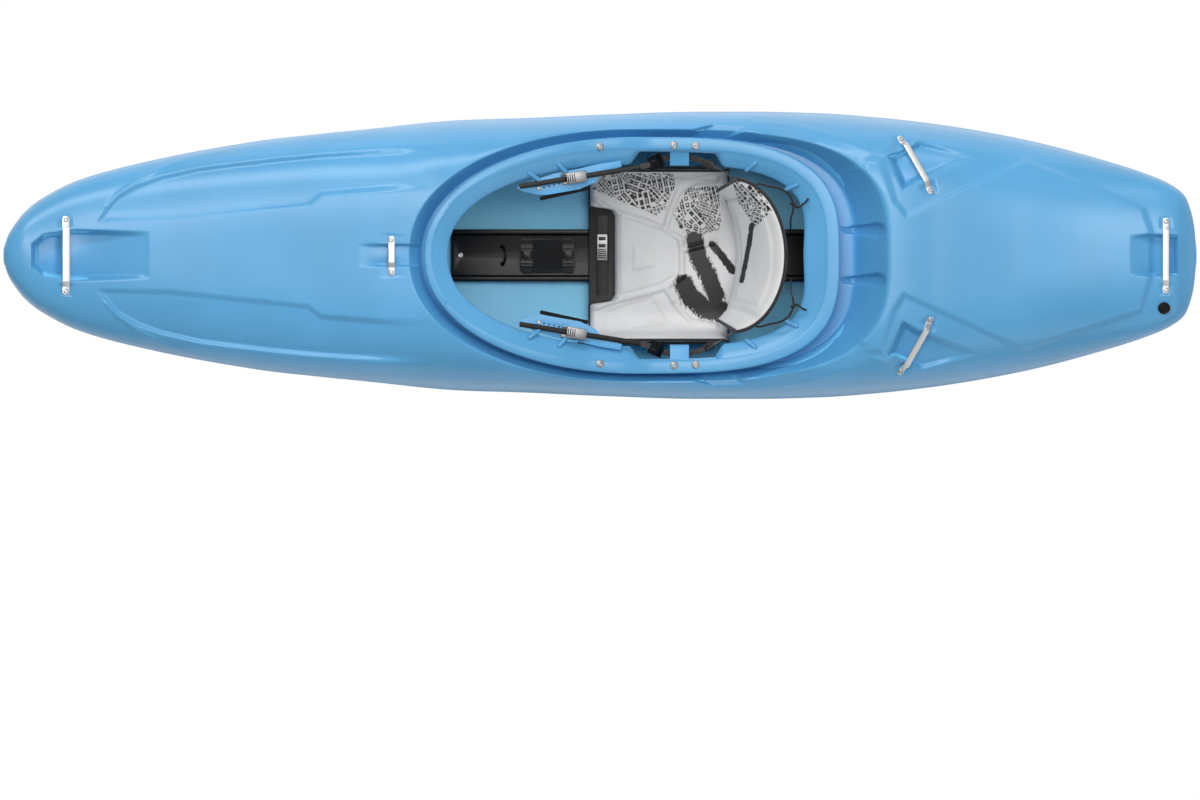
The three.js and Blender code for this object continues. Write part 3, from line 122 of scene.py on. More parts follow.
# Moulded pockets: corners as share of length, share of half beam and share of depth
POCKET_SHARES = {
    "bow": [[0.024, -0.22, 0.9], [0.034, -0.36, 1.0], [0.060, -0.34, 0.9], [0.122, -0.24, 0.02],
            [0.122, 0.24, 0.02], [0.060, 0.34, 0.9], [0.034, 0.36, 1.0], [0.024, 0.22, 0.9]],
    "front": [[0.300, -0.085, 0.02], [0.3175, -0.085, 1.0], [0.352, -0.085, 0.9],
              [0.352, 0.085, 0.9], [0.3175, 0.085, 1.0], [0.300, 0.085, 0.02]],
    "rear": [[0.7425, 0.73, 1.0], [0.769, 0.86, 0.5], [0.818, 0.80, 0.02],
             [0.7665, 0.57, 0.7], [0.7545, 0.50, 0.9]],
    "stern": [[0.945, -0.22, 0.02], [0.960, -0.26, 0.8], [0.984, -0.30, 1.0],
              [0.984, 0.30, 1.0], [0.960, 0.26, 0.8], [0.945, 0.22, 0.02]],
}
POCKET_DEPTHS = {"bow": 0.046, "front": 0.015, "rear": 0.040, "stern": 0.030}
# Run of each pocket's sloping wall
POCKET_WALLS = {"bow": 0.013, "front": 0.006, "rear": 0.016, "stern": 0.009}
DRAIN_NOTCH = {"start": (0.224, 0.259), "end": (0.352, 0.322), "before": 0.01, "width": 0.066,
               "depth": 0.023}
# Sculpted panels of the deck: outline corners and step height, starboard side
BOW_PANEL = [(-1.132, 0.080), (-1.117, 0.103), (-1.092, 0.130), (-1.046, 0.156), (-0.995, 0.1746),
             (-0.908, 0.1945), (-0.835, 0.204), (-0.733, 0.216), (-0.631, 0.2255), (-0.470, 0.236),
             (-0.345, 0.242), (-0.345, 0.166), (-0.408, 0.157), (-0.632, 0.139), (-0.661, 0.116),
             (-0.972, 0.084)]
# Depth of the bow panels, which grows outwards: at the inner edge, and per metre across
BOW_PANEL_STEP, BOW_PANEL_SLOPE, BOW_PANEL_INNER = 0.0055, 0.065, 0.10
# Places along the hull between which the bow panels fade in
BOW_PANEL_FADE = (-0.36, -0.52)
STERN_PANEL = [(0.600, 0.222), (0.637, 0.216), (0.652, 0.170), (0.668, 0.122), (0.694, 0.091),
               (0.965, 0.216), (1.230, 0.107), (1.248, 0.055), (1.248, -0.047), (1.225, -0.126),
               (0.960, -0.214), (0.689, -0.090), (0.668, -0.122), (0.652, -0.170), (0.637, -0.216),
               (0.600, -0.222)]
STERN_PANEL_STEP = 0.007
PANEL_SOFTNESS = 0.007
# Fine raised lines of the deck, starboard side, and their height and half width
DECK_BEADS = [
    [(-1.118, 0.109), (-1.090, 0.139), (-1.046, 0.171), (-0.995, 0.1985), (-0.923, 0.2225),
     (-0.850, 0.2385)],
    [(0.356, 0.302), (0.417, 0.297), (0.476, 0.286), (0.537, 0.268), (0.582, 0.248),
     (0.610, 0.232), (0.640, 0.238), (0.660, 0.252)],
]
BEAD_HEIGHT, BEAD_WIDTH = 0.0030, 0.0048
SLOTS = [((0.546, 0.629), 0.057), ((0.546, 0.629), -0.057)]
SLOT_SIZE = (0.036, 0.030)
SIDE_POCKET = {"aft": -0.5746, "height": 0.166, "size": (0.088, 0.041), "depth": 0.003, "soft": 0.003}

# How finely the hull is drawn
HULL_STEP = 0.0036
INNER_STEP = 0.010
DECK_COLUMNS = 88
GUNWALE_COLUMNS = 12
BILGE_COLUMNS = 128
INNER_COLUMNS = 28
PATCH_SPAN = (-0.62, 0.70)
PATCH_ROWS = 26
MOAT_ROWS = 30
BILGE_POWERS = (3, 1.6)
INNER_WALL = 0.0145
HULL_ROUGHNESS = 0.29
# Painted light on the inner skin: gain and lift that brighten the hull colour, standing in for the light
# falling into the cockpit
INSIDE_PAINTED_LIGHT_GAIN, INSIDE_PAINTED_LIGHT_LIFT = 1.7, 0.04
# Ribs on the rim's inner slope, starboard side: outer end in plan
RIM_RIBS = [(-0.154, 0.182), (-0.088, 0.200), (0.347, 0.205), (0.439, 0.157)]
RIB_RADIUS, RIB_STEPS = 0.0055, 12
# A rib's line: how far it starts below the rim and outside its place, its run and its fall
RIB_DROP, RIB_BACK, RIB_RUN, RIB_FALL = 0.006, 0.012, 0.036, 0.014
# Chine along the widest edge: how far it stands out, half height; and the bow's and stern's doming
CHINE = (0.0028, 0.009)
TIP_BULGE = 0.0012
# How far from the side bolt's pocket the chine has faded out, and where it is whole again
CHINE_BREAK = (0.05, 0.20)

# Deck bars: ends as shares of the length and half beam; width, rise of the middle
BARS = {
    "bow_grab_bar": ([0.0516, -0.575], [0.0516, 0.575], 0.018, 0.005),
    "front_deck_bar": ([0.3251, -0.157], [0.3251, 0.150], 0.015, 0.004),
    "rear_grab_bar_starboard": ([0.7785, 0.47], [0.7508, 0.885], 0.014, 0.013),
    "rear_grab_bar_port": ([0.7785, -0.47], [0.7508, -0.885], 0.014, 0.013),
    "stern_grab_bar": ([0.9746, -0.53], [0.9746, 0.52], 0.015, 0.005),
}
BAR_THICKNESS, BAR_FOOT, BAR_BEND = 0.004, 0.017, 0.014
BAR_END_INSET = 0.0006
# Shares of a bar: width left at its very end, and thickness of its strip
BAR_TIP_SHARE, BAR_STRIP_SHARE = 0.25, 0.96
# Clearance between pieces that touch, and the distances at which doubled points are merged
GAP = 0.0003
SEAM, DOUBLES, HULL_DOUBLES = 1e-8, 1e-6, 2e-5
LAND_DEPTH, LAND_MARGIN, LAND_REACH = 0.0015, 0.003, 0.020
# Cup washers under the rim screws: radius, height
CUP_WASHER = (0.0095, 0.0030)
SCREW_RADIUS, SCREW_HEIGHT, SCREW_SHANK = 0.0055, 0.0025, 0.014
SIDE_BOLT_SHANK = 0.03
# The floor spine's bolt and the screw on each brace: head radius, head height and shank
TRACK_BOLT = (0.007, 0.0046, 0.003)
BRACE_SCREW = (0.0048, 0.0022, 0.008)
# A screw's rings: share of the radius, share of the height, and how far the ring is a hexagon
SCREW_RINGS = [
    (0.45, 0.02, 0), (0.98, 0.02, 0), (1.0, 0.12, 0), (0.99, 0.45, 0), (0.93, 0.72, 0),
    (0.80, 0.92, 0), (0.66, 1.0, 0), (0.53, 1.0, 0.5), (0.49, 0.96, 1), (0.47, 0.10, 1),
    (0.40, -1.60, 1), (0.12, -1.70, 1),
]
RIM_SCREWS = (0.0, 0.1675, 0.2165)
# How far the rim screws sit inside the rim's edge, and their heads' share of a plain screw's
RIM_SCREW_INSET, RIM_SCREW_SHARE = 0.0185, 1.1
DRAIN_PLACE_SHARE = (0.9731, -0.717)
DRAIN_HEAD = (0.014, 0.005)
# Drain seal: thickness, height of its widest line, and inner, outer and widest radius
SEAL_THICKNESS, SEAL_SWELL, SEAL_RADII = 0.0016, 0.001, (0.0099, 0.0125, 0.0128)
PLUG_SHANK = 0.013
# Depth of the plug's lobes as a share of its radius, and their number
PLUG_LOBES = (0.035, 12)
# The plug's rings: share of the radius, share of the height, and how far the lobes show
PLUG_RINGS = [
    (0.66, 0, 0), (0.99, 0, 1), (1.0, 0.12, 1), (1.0, 0.72, 1), (0.96, 0.9, 1), (0.88, 0.97, 0.4),
    (0.8, 0.95, 0), (0.72, 0.72, 0), (0.5, 0.68, 0), (0.1, 0.68, 0),
]
# Each grip beside the coin slot: half length and place of its inner and its outer side
PLUG_GRIP = [(0.0088, 0.0012), (0.0072, 0.0044)]
PLUG_GRIP_CORNER, PLUG_GRIP_EDGE, PLUG_GRIP_HEIGHTS = 0.001, 0.0005, (0.6, 0.98)
# Solids that keep their own shape: last word of the piece's name, slot, edge radius and its steps
SOFTENED = {
    "seat_pan": ("shell", "black_plastic", 0.0018, 3),
    "seat_track": ("tray", "black_plastic", 0.0030, 4),
    "foot_bulkhead": ("plate", "black_plastic", 0.0025, 3),
    "seat_hanger": ("arm", "fitting_blue", 0.0012, 3),
    "foot_rail": ("bar", "bar_alloy", 0.0010, 2),
    "foam_pillar": ("block", "grey_foam", 0.0030, 3),
    "thigh_brace": ("plate", "fitting_blue", 0.0013, 3),
    "thigh_bracket": ("arm", "black_plastic", 0.0008, 2),
    "thigh_pad": ("foam", "black_fabric", 0.0015, 3),
    "strap_ratchet": ("frame", "ratchet_grey", 0.0007, 2),
    "ratchet_lever": ("arm", "ratchet_grey", 0.0012, 3),
    "lifter_ratchet": ("case", "ratchet_grey", 0.0022, 4),
    "lifter_lever": ("plate", "ratchet_grey", 0.0012, 3),
}
# Faces flatter than the first angle are joined, and edges sharper than the second are rounded
FLAT_ANGLE, FOLD_ANGLE = math.radians(1), math.radians(28)
PILLAR_GAP = 0.004

# Seat: the pan's inner section, which the cover lies on
PAN_FLOOR, PAN_CORNER, PAN_ARC = 0.0456, 0.131, 0.0647
# Cover thickness across its girth: distance from the keel line, thickness
COVER_THICKNESS = np.array([
    [0.0, 0.028], [0.060, 0.027], [0.100, 0.0245], [0.130, 0.022], [0.160, 0.0225], [0.195, 0.023],
    [0.235, 0.021], [0.262, 0.0155], [0.280, 0.009], [0.2907, 0.004],
])
# The cover's ends: front with the recess for the leg lifter, rear with its middle lip
COVER_FRONT, COVER_RECESS_FRONT, COVER_RECESS_HALF = -0.0235, 0.0325, 0.108
COVER_RECESS_ROUND, COVER_RECESS_WALL = 0.024, 0.005
COVER_REAR, COVER_LIP_REAR, COVER_LIP_HALF = 0.290, 0.330, 0.120
COVER_LIP_RUNS = (0.06, 0.05)
# Where the cover's rear lip starts to lift, how far it does, and the underside's share more
COVER_LIFT_FROM, COVER_LIFT, COVER_UNDER_LIFT = 0.255, 0.016, 1.2
# Moulded ridges of the cover in plan: points, half width
COVER_RIDGES = [
    ([(0.035, 0.097), (0.112, 0.074), (0.148, 0.058), (0.184, 0.036), (0.186, -0.046), (0.148, -0.073),
      (0.042, -0.101)], 0.0085),
    ([(0.148, 0.059), (0.159, 0.099), (0.179, 0.146), (0.214, 0.168), (0.262, 0.172)], 0.0085),
    ([(0.148, -0.073), (0.178, -0.120), (0.206, -0.150), (0.262, -0.160)], 0.0075),
    ([(-0.024, 0.136), (0.035, 0.097)], 0.0070),
    ([(-0.024, -0.124), (0.042, -0.101)], 0.0070),
    ([(0.186, 0.010), (0.262, 0.030)], 0.0055),
]
# Sunk and raised panels of the cover in plan: corners, rise
COVER_PANELS = [
    ([(0.046, 0.086), (0.133, 0.056), (0.166, 0.033), (0.168, -0.044), (0.133, -0.064), (0.047, -0.088)],
     0.0030),
    ([(0.076, 0.024), (0.124, 0.014), (0.124, -0.024), (0.076, -0.034)], 0.0026),
    ([(0.010, -0.128), (0.118, -0.094), (0.152, -0.150), (0.020, -0.176)], -0.0030),
]
PANEL_EDGE = 0.004
# Printed zones of the cover, in plan
PRINT_ZONES = [
    [(-0.017, 0.150), (0.010, 0.186), (0.168, 0.186), (0.170, 0.156), (0.146, 0.105), (0.128, 0.090)],
    [(0.166, 0.092), (0.198, 0.152), (0.268, 0.158), (0.275, 0.060), (0.215, 0.040), (0.180, 0.062)],
]
BACK_PRINT_ZONE = [(0.298, 0.175), (0.338, 0.180), (0.392, 0.104), (0.352, 0.064), (0.314, 0.118)]
PRINT_SOFTNESS = 0.002
# Dry brush marks on the seat cover: line in plan and half width
SMEARS = [([(0.214, 0.034), (0.222, -0.004), (0.246, -0.046), (0.262, -0.092)], 0.020),
          ([(0.190, -0.066), (0.206, -0.096), (0.238, -0.122), (0.280, -0.128)], 0.023),
          ([(0.254, 0.024), (0.280, -0.006), (0.300, -0.034)], 0.009)]
# Painted shadow on the backband: a dark stripe across its lower part where it folds, drawn like the brush
# marks: line in plan and half width
BACK_PAINTED_SHADOW = [([(0.344, 0.069), (0.337, 0.020), (0.327, -0.030), (0.3205, -0.058)], 0.0055)]
# Backband: half angle of its arc; the arc's middle, reach aft and half width at its low and top
# edges; height of each edge at the middle, and how far its ends lift or sag; thickness at the
# middle and at the edge; shares of the push that crowns its front
BACKBAND = {"sweep": 1.48, "low": (0.262, 0.052, 0.150), "top": (0.299, 0.124, 0.176),
            "heights": (0.112, 0.056, 0.286, 0.036), "rise": 0.020, "edge": 0.005,
            "forward": 0.86, "lean": 0.5}
# The backband's raised middle panel and the groove at each side of it: rise and depth, then the
# panel's reach across and up with its middle, and the groove's place and half width, as shares
BACK_PANEL_RISE, BACK_GROOVE = 0.0030, 0.0085
BACK_PANEL, BACK_GROOVE_PLACE = (0.56, 0.62, 1.06), (0.70, 0.045)
BINDING_RADIUS, BACK_BINDING_RADIUS = 0.0034, 0.00425
# The cover's skins over the pan: least rise of the top and of the underside
COVER_LEAST, COVER_UNDER = 0.001, 0.0004
# Points of the cover's grid along and across, of the backband's across and up, and of both bindings
COVER_GRID, BACK_GRID, BINDING_STEPS = (121, 221), (161, 49), (520, 480)
# Runs over which the cover's ends round off, front and rear, and its relief fades out; and the
# distances across between which the relief fades in
COVER_END_RUNS, COVER_FADE, COVER_SIDE_FADE = (0.014, 0.020), 0.020, (0.2905, 0.25)

# Straps, in metres: the same places as the solids
STRAP_ENDS = [(-0.182, 0.156, 0.350), (0.092, 0.200, 0.293)]
STRAP_SIZE = (0.012, 0.003)
STRAP_BASE_SHARE = 0.62
TOOTH_PITCH = 0.0042
# A tooth's section: place along the strap and height, and the margin beside it
TOOTH_SECTION = [(-0.0013, -0.0005), (0.0009, -0.0005), (0.0013, 0.0011), (0.0002, 0.0011)]
TOOTH_MARGIN = 0.0013
WEBBING_ROUTE = [
    (0.076, 0.1975, 0.293), (0.090, 0.1997, 0.290), (0.118, 0.2075, 0.2715), (0.144, 0.219, 0.243),
    (0.178, 0.224, 0.2385), (0.206, 0.221, 0.2375), (0.232, 0.213, 0.2385), (0.256, 0.202, 0.241),
    (0.280, 0.190, 0.243),
]
WEBBING_END_SHARES = [(1.0, 0.86), (0.975, 0.86), (0.95, 0.86), (0.92, 0.86)]
# Points of the route between which the webbing turns, and how much the turn counts as length
WEBBING_TURN, WEBBING_TURN_LENGTH = (5.5, 8), 0.05
# Black sliders on each webbing: name, place along the route, length, width, thickness
SLIDERS = [("front", 2.35, 0.040, 0.032, 0.006), ("rear", 6.6, 0.022, 0.018, 0.004)]
SLIDER_LIFT = 0.001
# A slider's plate inset, and half widths of its rails and cross bars
SLIDER_INSET, SLIDER_RAIL, SLIDER_BAR = 0.001, 0.0016, 0.002
# Each part of a slider: corner, edge, and shares of the thickness below and above its middle
SLIDER_PARTS = {"plate": (0.0015, 0.0005, 0.6, 0.6), "rail": (0.0012, 0.0006, 1, 1),
                "bar": (0.001, 0.0006, 0.9, 1.25)}
WEBBING_SIZE = (0.012, 0.002)
BRACE_SEAT = ((-0.1389, 0.152, 0.3228934), (0.144468, 0, 0.989509), (0.967208, 0.21111, -0.141212))
RATCHET_SEAT = ((-0.0602855, 0.1761533, 0.3167719), (0.144468, 0, 0.989509),
                (0.977249, 0.156931, -0.142678))
BRACE_THICKNESS = 0.005
# How far each thigh pad stands out past its brace, towards the keel line
PAD_SHOWS = 0.007
# Pins of a ratchet: places along it, and their height over its base
PIN_PLACES, PIN_HEIGHT = (-0.010, 0.0215), 0.0152
PIN_RADIUS, PIN_HALF, PIN_CHAMFER = 0.0016, 0.0135, 0.0003
# Grip ribs on a ratchet's lever: places, size, heights over the ratchet's base, corner and edge
LEVER_RIBS = {"places": (-0.015, -0.010, -0.005, 0.0), "size": (0.002, 0.019),
              "heights": (0.0208, 0.0222), "corner": 0.0006, "edge": 0.0004}

# Retention cords, starboard route in metres; port is its mirror image
CORD_RADIUS, CORD_ACROSS = 0.0024, (0.3, 0.2, 1)
CORD_ROUTE = [
    (0.34845, 0.1549, 0.2535), (0.3521, 0.1589, 0.2508), (0.359, 0.162, 0.253), (0.370, 0.160, 0.264),
    (0.384, 0.156, 0.277), (0.402, 0.1525, 0.285), (0.418, 0.146, 0.286), (0.429, 0.136, 0.285),
    (0.436, 0.122, 0.283), (0.438, 0.108, 0.280), (0.436, 0.096, 0.274), (0.433, 0.086, 0.258),
    (0.432, 0.076, 0.226), (0.432, 0.067, 0.180), (0.432, 0.060, 0.120), (0.432, 0.055, 0.070),
    (0.432, 0.053, 0.0403),
]
CORD_TAILS = {
    "starboard": [(0.4365, 0.117, 0.2835), (0.447, 0.108, 0.2865), (0.456, 0.112, 0.284),
                  (0.466, 0.121, 0.278), (0.472, 0.129, 0.271)],
    "port": [(0.4365, -0.117, 0.2835), (0.445, -0.111, 0.287), (0.452, -0.116, 0.285),
             (0.461, -0.122, 0.280), (0.468, -0.124, 0.275)],
}

# The knot's middle, its ring's radius and how far the line weaves across and along
KNOT_PLACE = (0.4365, 0.1165, 0.2830)
KNOT_RING, KNOT_WEAVE, KNOT_DEPTH = 0.0034, 0.0018, 0.0014
KNOT_SHARE = 0.8
TAIL_STEPS = 50

# Floor spine and what it carries
TRACK_CHANNEL = 0.026
TRACK_BOLT_AFT = -0.316
POUCH = {"from": -0.183, "to": -0.057, "half": 0.038, "height": 0.026}
POUCH_STRAPS = (-0.166, -0.072)
POUCH_GAP, POUCH_END_GAP = 0.0006, 0.001
# How the bag draws in under its straps (share and reach), and the depth of its puckers
POUCH_WAIST, POUCH_PUCKER = (0.045, 0.010), 0.0005
POUCH_STRAP_SIZE, POUCH_STRAP_RISE, POUCH_STRAP_FOOT = (0.022, 0.0016), 0.0012, 0.0015
# Angle left open at each foot of the straps
POUCH_STRAP_TURN = 0.12
# Buckles on the pouch: place each side, size of the halves; the tongue's size, heights and corner
BUCKLE_SIDE, BUCKLE_SIZE = 0.017, (0.017, 0.028, 0.0034)
TONGUE_SIZE, TONGUE_HEIGHTS, TONGUE_CORNER, TONGUE_EDGE = (0.019, 0.020), (0.0005, 0.0042), 0.003, 0.0012
TIE_LOOP_AFT = -0.221
# The tie loop: half span, height, how far it leans, where it starts and the wire's radius
TIE_LOOP = {"half": 0.019, "height": 0.013, "lean": 0.006, "start": 0.0005, "radius": 0.0024}
TIE_FOOT = [(0.0052, 0.0), (0.0052, 0.002), (0.0036, 0.0034), (0.001, 0.0036)]
LIFTER_AFT, LIFTER_HALF = 0.005, 0.0895
# Lifter strap: width and thickness, height of its middle; its ribs' pitch, margin, size and heights
LIFTER_STRAP, LIFTER_RISE = (0.026, 0.0018), 0.0012
LIFTER_RIBS = {"pitch": 0.0042, "margin": 0.003, "size": (0.022, 0.0019), "heights": (0.0015, 0.0031),
               "edge": 0.0003}
# Raised marks on the lifter's lever: places from its port end, width, inset from its long sides,
# corner and its steps, height and edge
LEVER_MARKS = [
    ((0.0071, 0.0116, 0.0161, 0.0206, 0.0251), 0.0022, 0.003, 0.0006, 2, 0.0011, 0.0005),
    ((0.034, 0.050), 0.008, 0.004, 0.002, 3, 0.0016, 0.0006),
]
MARK_SINK = 0.0004

# Depths of the finishes' fine relief
BRUSH_DEPTH, LEATHER_DEPTH, PORE_DEPTH, CREASE_DEPTH, BLOOM_DEPTH = 0.00008, 0.00015, 0.0006, 0.0006, 0.0001

# Studio
STAGE_SIZE = 12
VIEW_WIDTH = 2.718
CAMERA_PLACE = (0.0, -0.3277, 4.0)
WORLD_STRENGTH = 0.36
KEY_POWER = 168.0
# Lamps: name, place, size and share of the key light's power
LAMPS = [
    ("key_lamp", (-0.9, 4.6, 4.6), (4.8, 1.5), 0.92),
    ("top_lamp", (0.3, 1.3, 6.8), (5.4, 2.2), 1.24),
    ("fill_lamp", (3.4, -4.4, 3.6), (4.4, 2.5), 0.18),
]


def rgb(red, green, blue):
    """An sRGB colour from 0 to 255 as linear light."""
    shares = np.array([red, green, blue]) / 255.0
    linear = np.where(shares <= 0.04045, shares / 12.92, ((shares + 0.055) / 1.055) ** 2.4)
    return tuple(float(v) for v in linear)


def smooth_curve(table, column):
    """A curve through a table's column that never overshoots it: cubic pieces whose
    slope at each point is the harmonic mean of the slopes beside it."""
    xs, ys = table[:, 0], table[:, column]
    steps = np.diff(xs)
    slopes = np.diff(ys) / steps
    tangents = np.empty_like(ys)
    tangents[0], tangents[-1] = slopes[0], slopes[-1]
    before, after = slopes[:-1], slopes[1:]
    total = np.where(np.abs(before + after) < 1e-12, 1.0, before + after)
    tangents[1:-1] = np.where(before * after <= 0, 0.0, 2 * before * after / total)

    def curve(x):
        x = np.asarray(x, float)
        i = np.clip(np.searchsorted(xs, x, side="left") - 1, 0, len(xs) - 2)
        t = np.clip((x - xs[i]) / steps[i], 0, 1)
        a = t * t * (3 - 2 * t)
        rise = tangents[i] * t * (1 - t) ** 2 - tangents[i + 1] * t * t * (1 - t)
        return ys[i] + (ys[i + 1] - ys[i]) * a + steps[i] * rise
    return curve


BEAM_LINE, KEEL_LINE, EDGE_LINE, CROWN_LINE = (smooth_curve(LINE_SHARES, i) for i in (1, 2, 3, 4))
SQUARENESS_LINE = smooth_curve(DECK_SQUARENESS_SHARES, 1)
RIM_LINE = smooth_curve(RIM_HEIGHT_SHARES, 1)


def smooth_step(low, high, value):
    """Rises smoothly from 0 at low to 1 at high."""
    t = np.clip((value - low) / (high - low), 0, 1)
    return t * t * (3 - 2 * t)


def straight_step(low, high, value, ease=0.22):
    """Rises from 0 at low to 1 at high in a straight slope with shortly rounded ends."""
    t = np.clip((value - low) / (high - low), 0, 1)
    ends = 2 * ease * (1 - ease)
    middle = (t - ease / 2) / (1 - ease)
    return np.where(t < ease, t * t / ends, np.where(t > 1 - ease, 1 - (1 - t) ** 2 / ends, middle))


def hull_lines(x, inset=0.0):
    """Half beam, keel, edge and crown heights and deck squareness at x, drawn in by inset."""
    share = np.asarray(x, float) / HULL_LENGTH + 0.5
    half = HULL_BEAM / 2 * BEAM_LINE(share) - inset
    keel = HULL_HEIGHT * KEEL_LINE(share) - BOTTOM_FLAT + inset
    top = HULL_HEIGHT * CROWN_LINE(share) - inset
    edge = np.minimum(top, np.maximum(keel, HULL_HEIGHT * EDGE_LINE(share)))
    return half, keel, edge, top, SQUARENESS_LINE(share)


def crown_height(x, y, inset=0.0):
    """Height of the plain deck: z = edge + (top - edge) (1 - |y / half| ^ power) ^ (1/3)."""
    half, _, edge, top, power = hull_lines(x, inset)
    across = np.clip(np.abs(y) / half, 0, 1)
    return edge + (top - edge) * (1 - across ** power) ** (1 / 3)


def line_reach(x, y, points):
    """Distance from places to an open line through points."""
    nearest = np.full(np.shape(x), np.inf)
    for (ax, ay), (bx, by) in zip(points, points[1:]):
        dx, dy = bx - ax, by - ay
        t = np.clip(((x - ax) * dx + (y - ay) * dy) / (dx * dx + dy * dy), 0, 1)
        nearest = np.minimum(nearest, np.hypot(x - ax - t * dx, y - ay - t * dy))
    return nearest


def polygon_distance(x, y, corners):
    """Signed distance from points to a polygon's outline, positive inside."""
    ring = [*corners, corners[0]]
    inside = np.zeros(np.shape(x), bool)
    for (ax, ay), (bx, by) in zip(ring, ring[1:]):
        rise = (by - ay) or 1.0
        inside ^= ((ay > y) != (by > y)) & (x < ax + (y - ay) * (bx - ax) / rise)
    nearest = line_reach(x, y, ring)
    return np.where(inside, nearest, -nearest)


def corner_blend(x, y, corners, values):
    """Blends the values at a polygon's corners over its inside with mean-value weights."""
    corners = np.asarray(corners, float)
    count = len(corners)
    dx = corners[:, 0][:, None] - x.ravel()[None, :]
    dy = corners[:, 1][:, None] - y.ravel()[None, :]
    reach = np.hypot(dx, dy) + 1e-9
    angle = np.arctan2(dy, dx)
    turn = np.array([np.angle(np.exp(1j * (angle[(i + 1) % count] - angle[i]))) for i in range(count)])
    half = np.tan(np.clip(turn / 2, -1.5, 1.5))
    weights = np.array([(half[i - 1] + half[i]) / reach[i] for i in range(count)])
    total = weights.sum(0)
    total = np.where(np.abs(total) < 1e-9, 1e-9, total)
    return ((weights * np.asarray(values)[:, None]).sum(0) / total).reshape(np.shape(x))


def share_corners(name, side=1.0):
    """A pocket's corners in metres and its depth at each corner."""
    rows = np.array(POCKET_SHARES[name])
    x = (rows[:, 0] - 0.5) * HULL_LENGTH
    y = side * rows[:, 1] * hull_lines(x)[0]
    return np.column_stack([x, y]), rows[:, 2] * POCKET_DEPTHS[name]


def pocket_drop(x, y):
    """How far the moulded pockets sink the deck: corner depths blended over each pocket
    and eased in across its sloping wall."""
    drop = np.zeros(np.shape(x))
    for name, side in (("bow", 1), ("front", 1), ("stern", 1), ("rear", 1), ("rear", -1)):
        corners, depths = share_corners(name, side)
        inside = polygon_distance(x, y, corners)
        run = POCKET_WALLS[name]
        wall = straight_step(-run * 0.3, run * 0.7, inside)
        near = inside > -run
        depth = np.zeros(np.shape(x))
        if near.any():
            depth[near] = np.clip(corner_blend(x[near], y[near], corners, depths), 0, depths.max())
        drop = np.maximum(drop, wall * depth)
    return drop


def deck_height(x, y):
    """Height of the sculpted deck: the plain deck, with raised and sunk panels stepped
    in softly, less its pockets and slots."""
    z = crown_height(x, y)
    for side in (1, -1):
        corners = [(px, side * py) for px, py in BOW_PANEL]
        inside = polygon_distance(x, y, corners)
        fade = smooth_step(*BOW_PANEL_FADE, x)
        depth = BOW_PANEL_STEP + BOW_PANEL_SLOPE * np.maximum(side * y - BOW_PANEL_INNER, 0)
        z = z - depth * fade * straight_step(-PANEL_SOFTNESS, PANEL_SOFTNESS, inside)
        for line in DECK_BEADS:
            away = line_reach(x, y, [(px, side * py) for px, py in line])
            z = z + BEAD_HEIGHT * np.exp(-(away / BEAD_WIDTH) ** 2)
    inside = polygon_distance(x, y, STERN_PANEL)
    z = z + STERN_PANEL_STEP * straight_step(-PANEL_SOFTNESS, PANEL_SOFTNESS, inside)
    z = np.minimum(z - pocket_drop(x, y), land_height(x, y))
    for side in (1, -1):
        z = np.minimum(z, notch_height(x, side * y))
    return z


def slot_drop(x, y):
    """Depth of the teardrop slots behind the cockpit: they widen and deepen as they run aft."""
    drop = np.zeros(np.shape(x))
    for (low, high), middle in SLOTS:
        run = np.clip((x - low) / (high - low), 0, 1)
        width = SLOT_SIZE[0] / 2 * (0.3 + 0.7 * run)
        away = np.hypot(np.maximum(np.maximum(low - x, x - high), 0), y - middle)
        drop = np.maximum(drop, SLOT_SIZE[1] * run ** 0.8 * straight_step(width, width * 0.7, away))
    return drop


def notch_height(x, y):
    """Height of the drain notch over the gunwale: a shallow trough across a straight run."""
    (ax, ay), (bx, by) = DRAIN_NOTCH["start"], DRAIN_NOTCH["end"]
    run = np.array([bx - ax, by - ay])
    length = np.hypot(*run)
    run = run / length
    along = (x - ax) * run[0] + (y - ay) * run[1]
    off = np.abs(-(x - ax) * run[1] + (y - ay) * run[0])
    half = DRAIN_NOTCH["width"] / 2
    level = float(crown_height((ax + bx) / 2, (MOAT_OVAL[2] + ay) / 2))
    floor = level - DRAIN_NOTCH["depth"] * straight_step(half, half * 0.5, off)
    outside = (off > half) | (along < -DRAIN_NOTCH["before"]) | (along > length)
    return np.where(outside, np.inf, floor)


def oval_points(oval, angle, inset=0.0):
    """A point of a superellipse made of a front and a rear half, drawn in by inset."""
    front, rear, half, front_power, rear_power = oval
    c, s = np.cos(angle), np.sin(angle)
    aft = c >= 0
    power = np.where(aft, rear_power, front_power)
    reach = np.where(aft, rear, front) - inset
    x = COCKPIT_AFT + reach * np.sign(c) * np.abs(c) ** (2 / power)
    y = (half - inset) * np.sign(s) * np.abs(s) ** (2 / power)
    return x, y


def rim_height(angle):
    """Height of the cockpit rim at an angle round it."""
    x, _ = oval_points(CREASE_OVAL, angle)
    return HULL_HEIGHT * RIM_LINE(x / HULL_LENGTH + 0.5)


def grid_faces(rows, columns, wrap=False):
    """Quads of a grid of rows x columns points, the columns closed into a ring if wrapped."""
    i, j = np.meshgrid(np.arange(rows - 1), np.arange(columns if wrap else columns - 1), indexing="ij")
    k = (j + 1) % columns
    return np.stack([i * columns + j, i * columns + k, (i + 1) * columns + k, (i + 1) * columns + j],
                    -1).reshape(-1, 4)


def closed_tube(rows, count):
    """Faces of a tube of rings with count points each, closed at both ends."""
    faces = grid_faces(rows, count, wrap=True).tolist()
    faces.append(list(range(count))[::-1])
    faces.append([(rows - 1) * count + i for i in range(count)])
    return faces


def ring_path(points):
    """Lengths along a row of points, from 0."""
    steps = np.linalg.norm(np.diff(points, axis=0), axis=1)
    return np.concatenate([[0], np.cumsum(steps)])


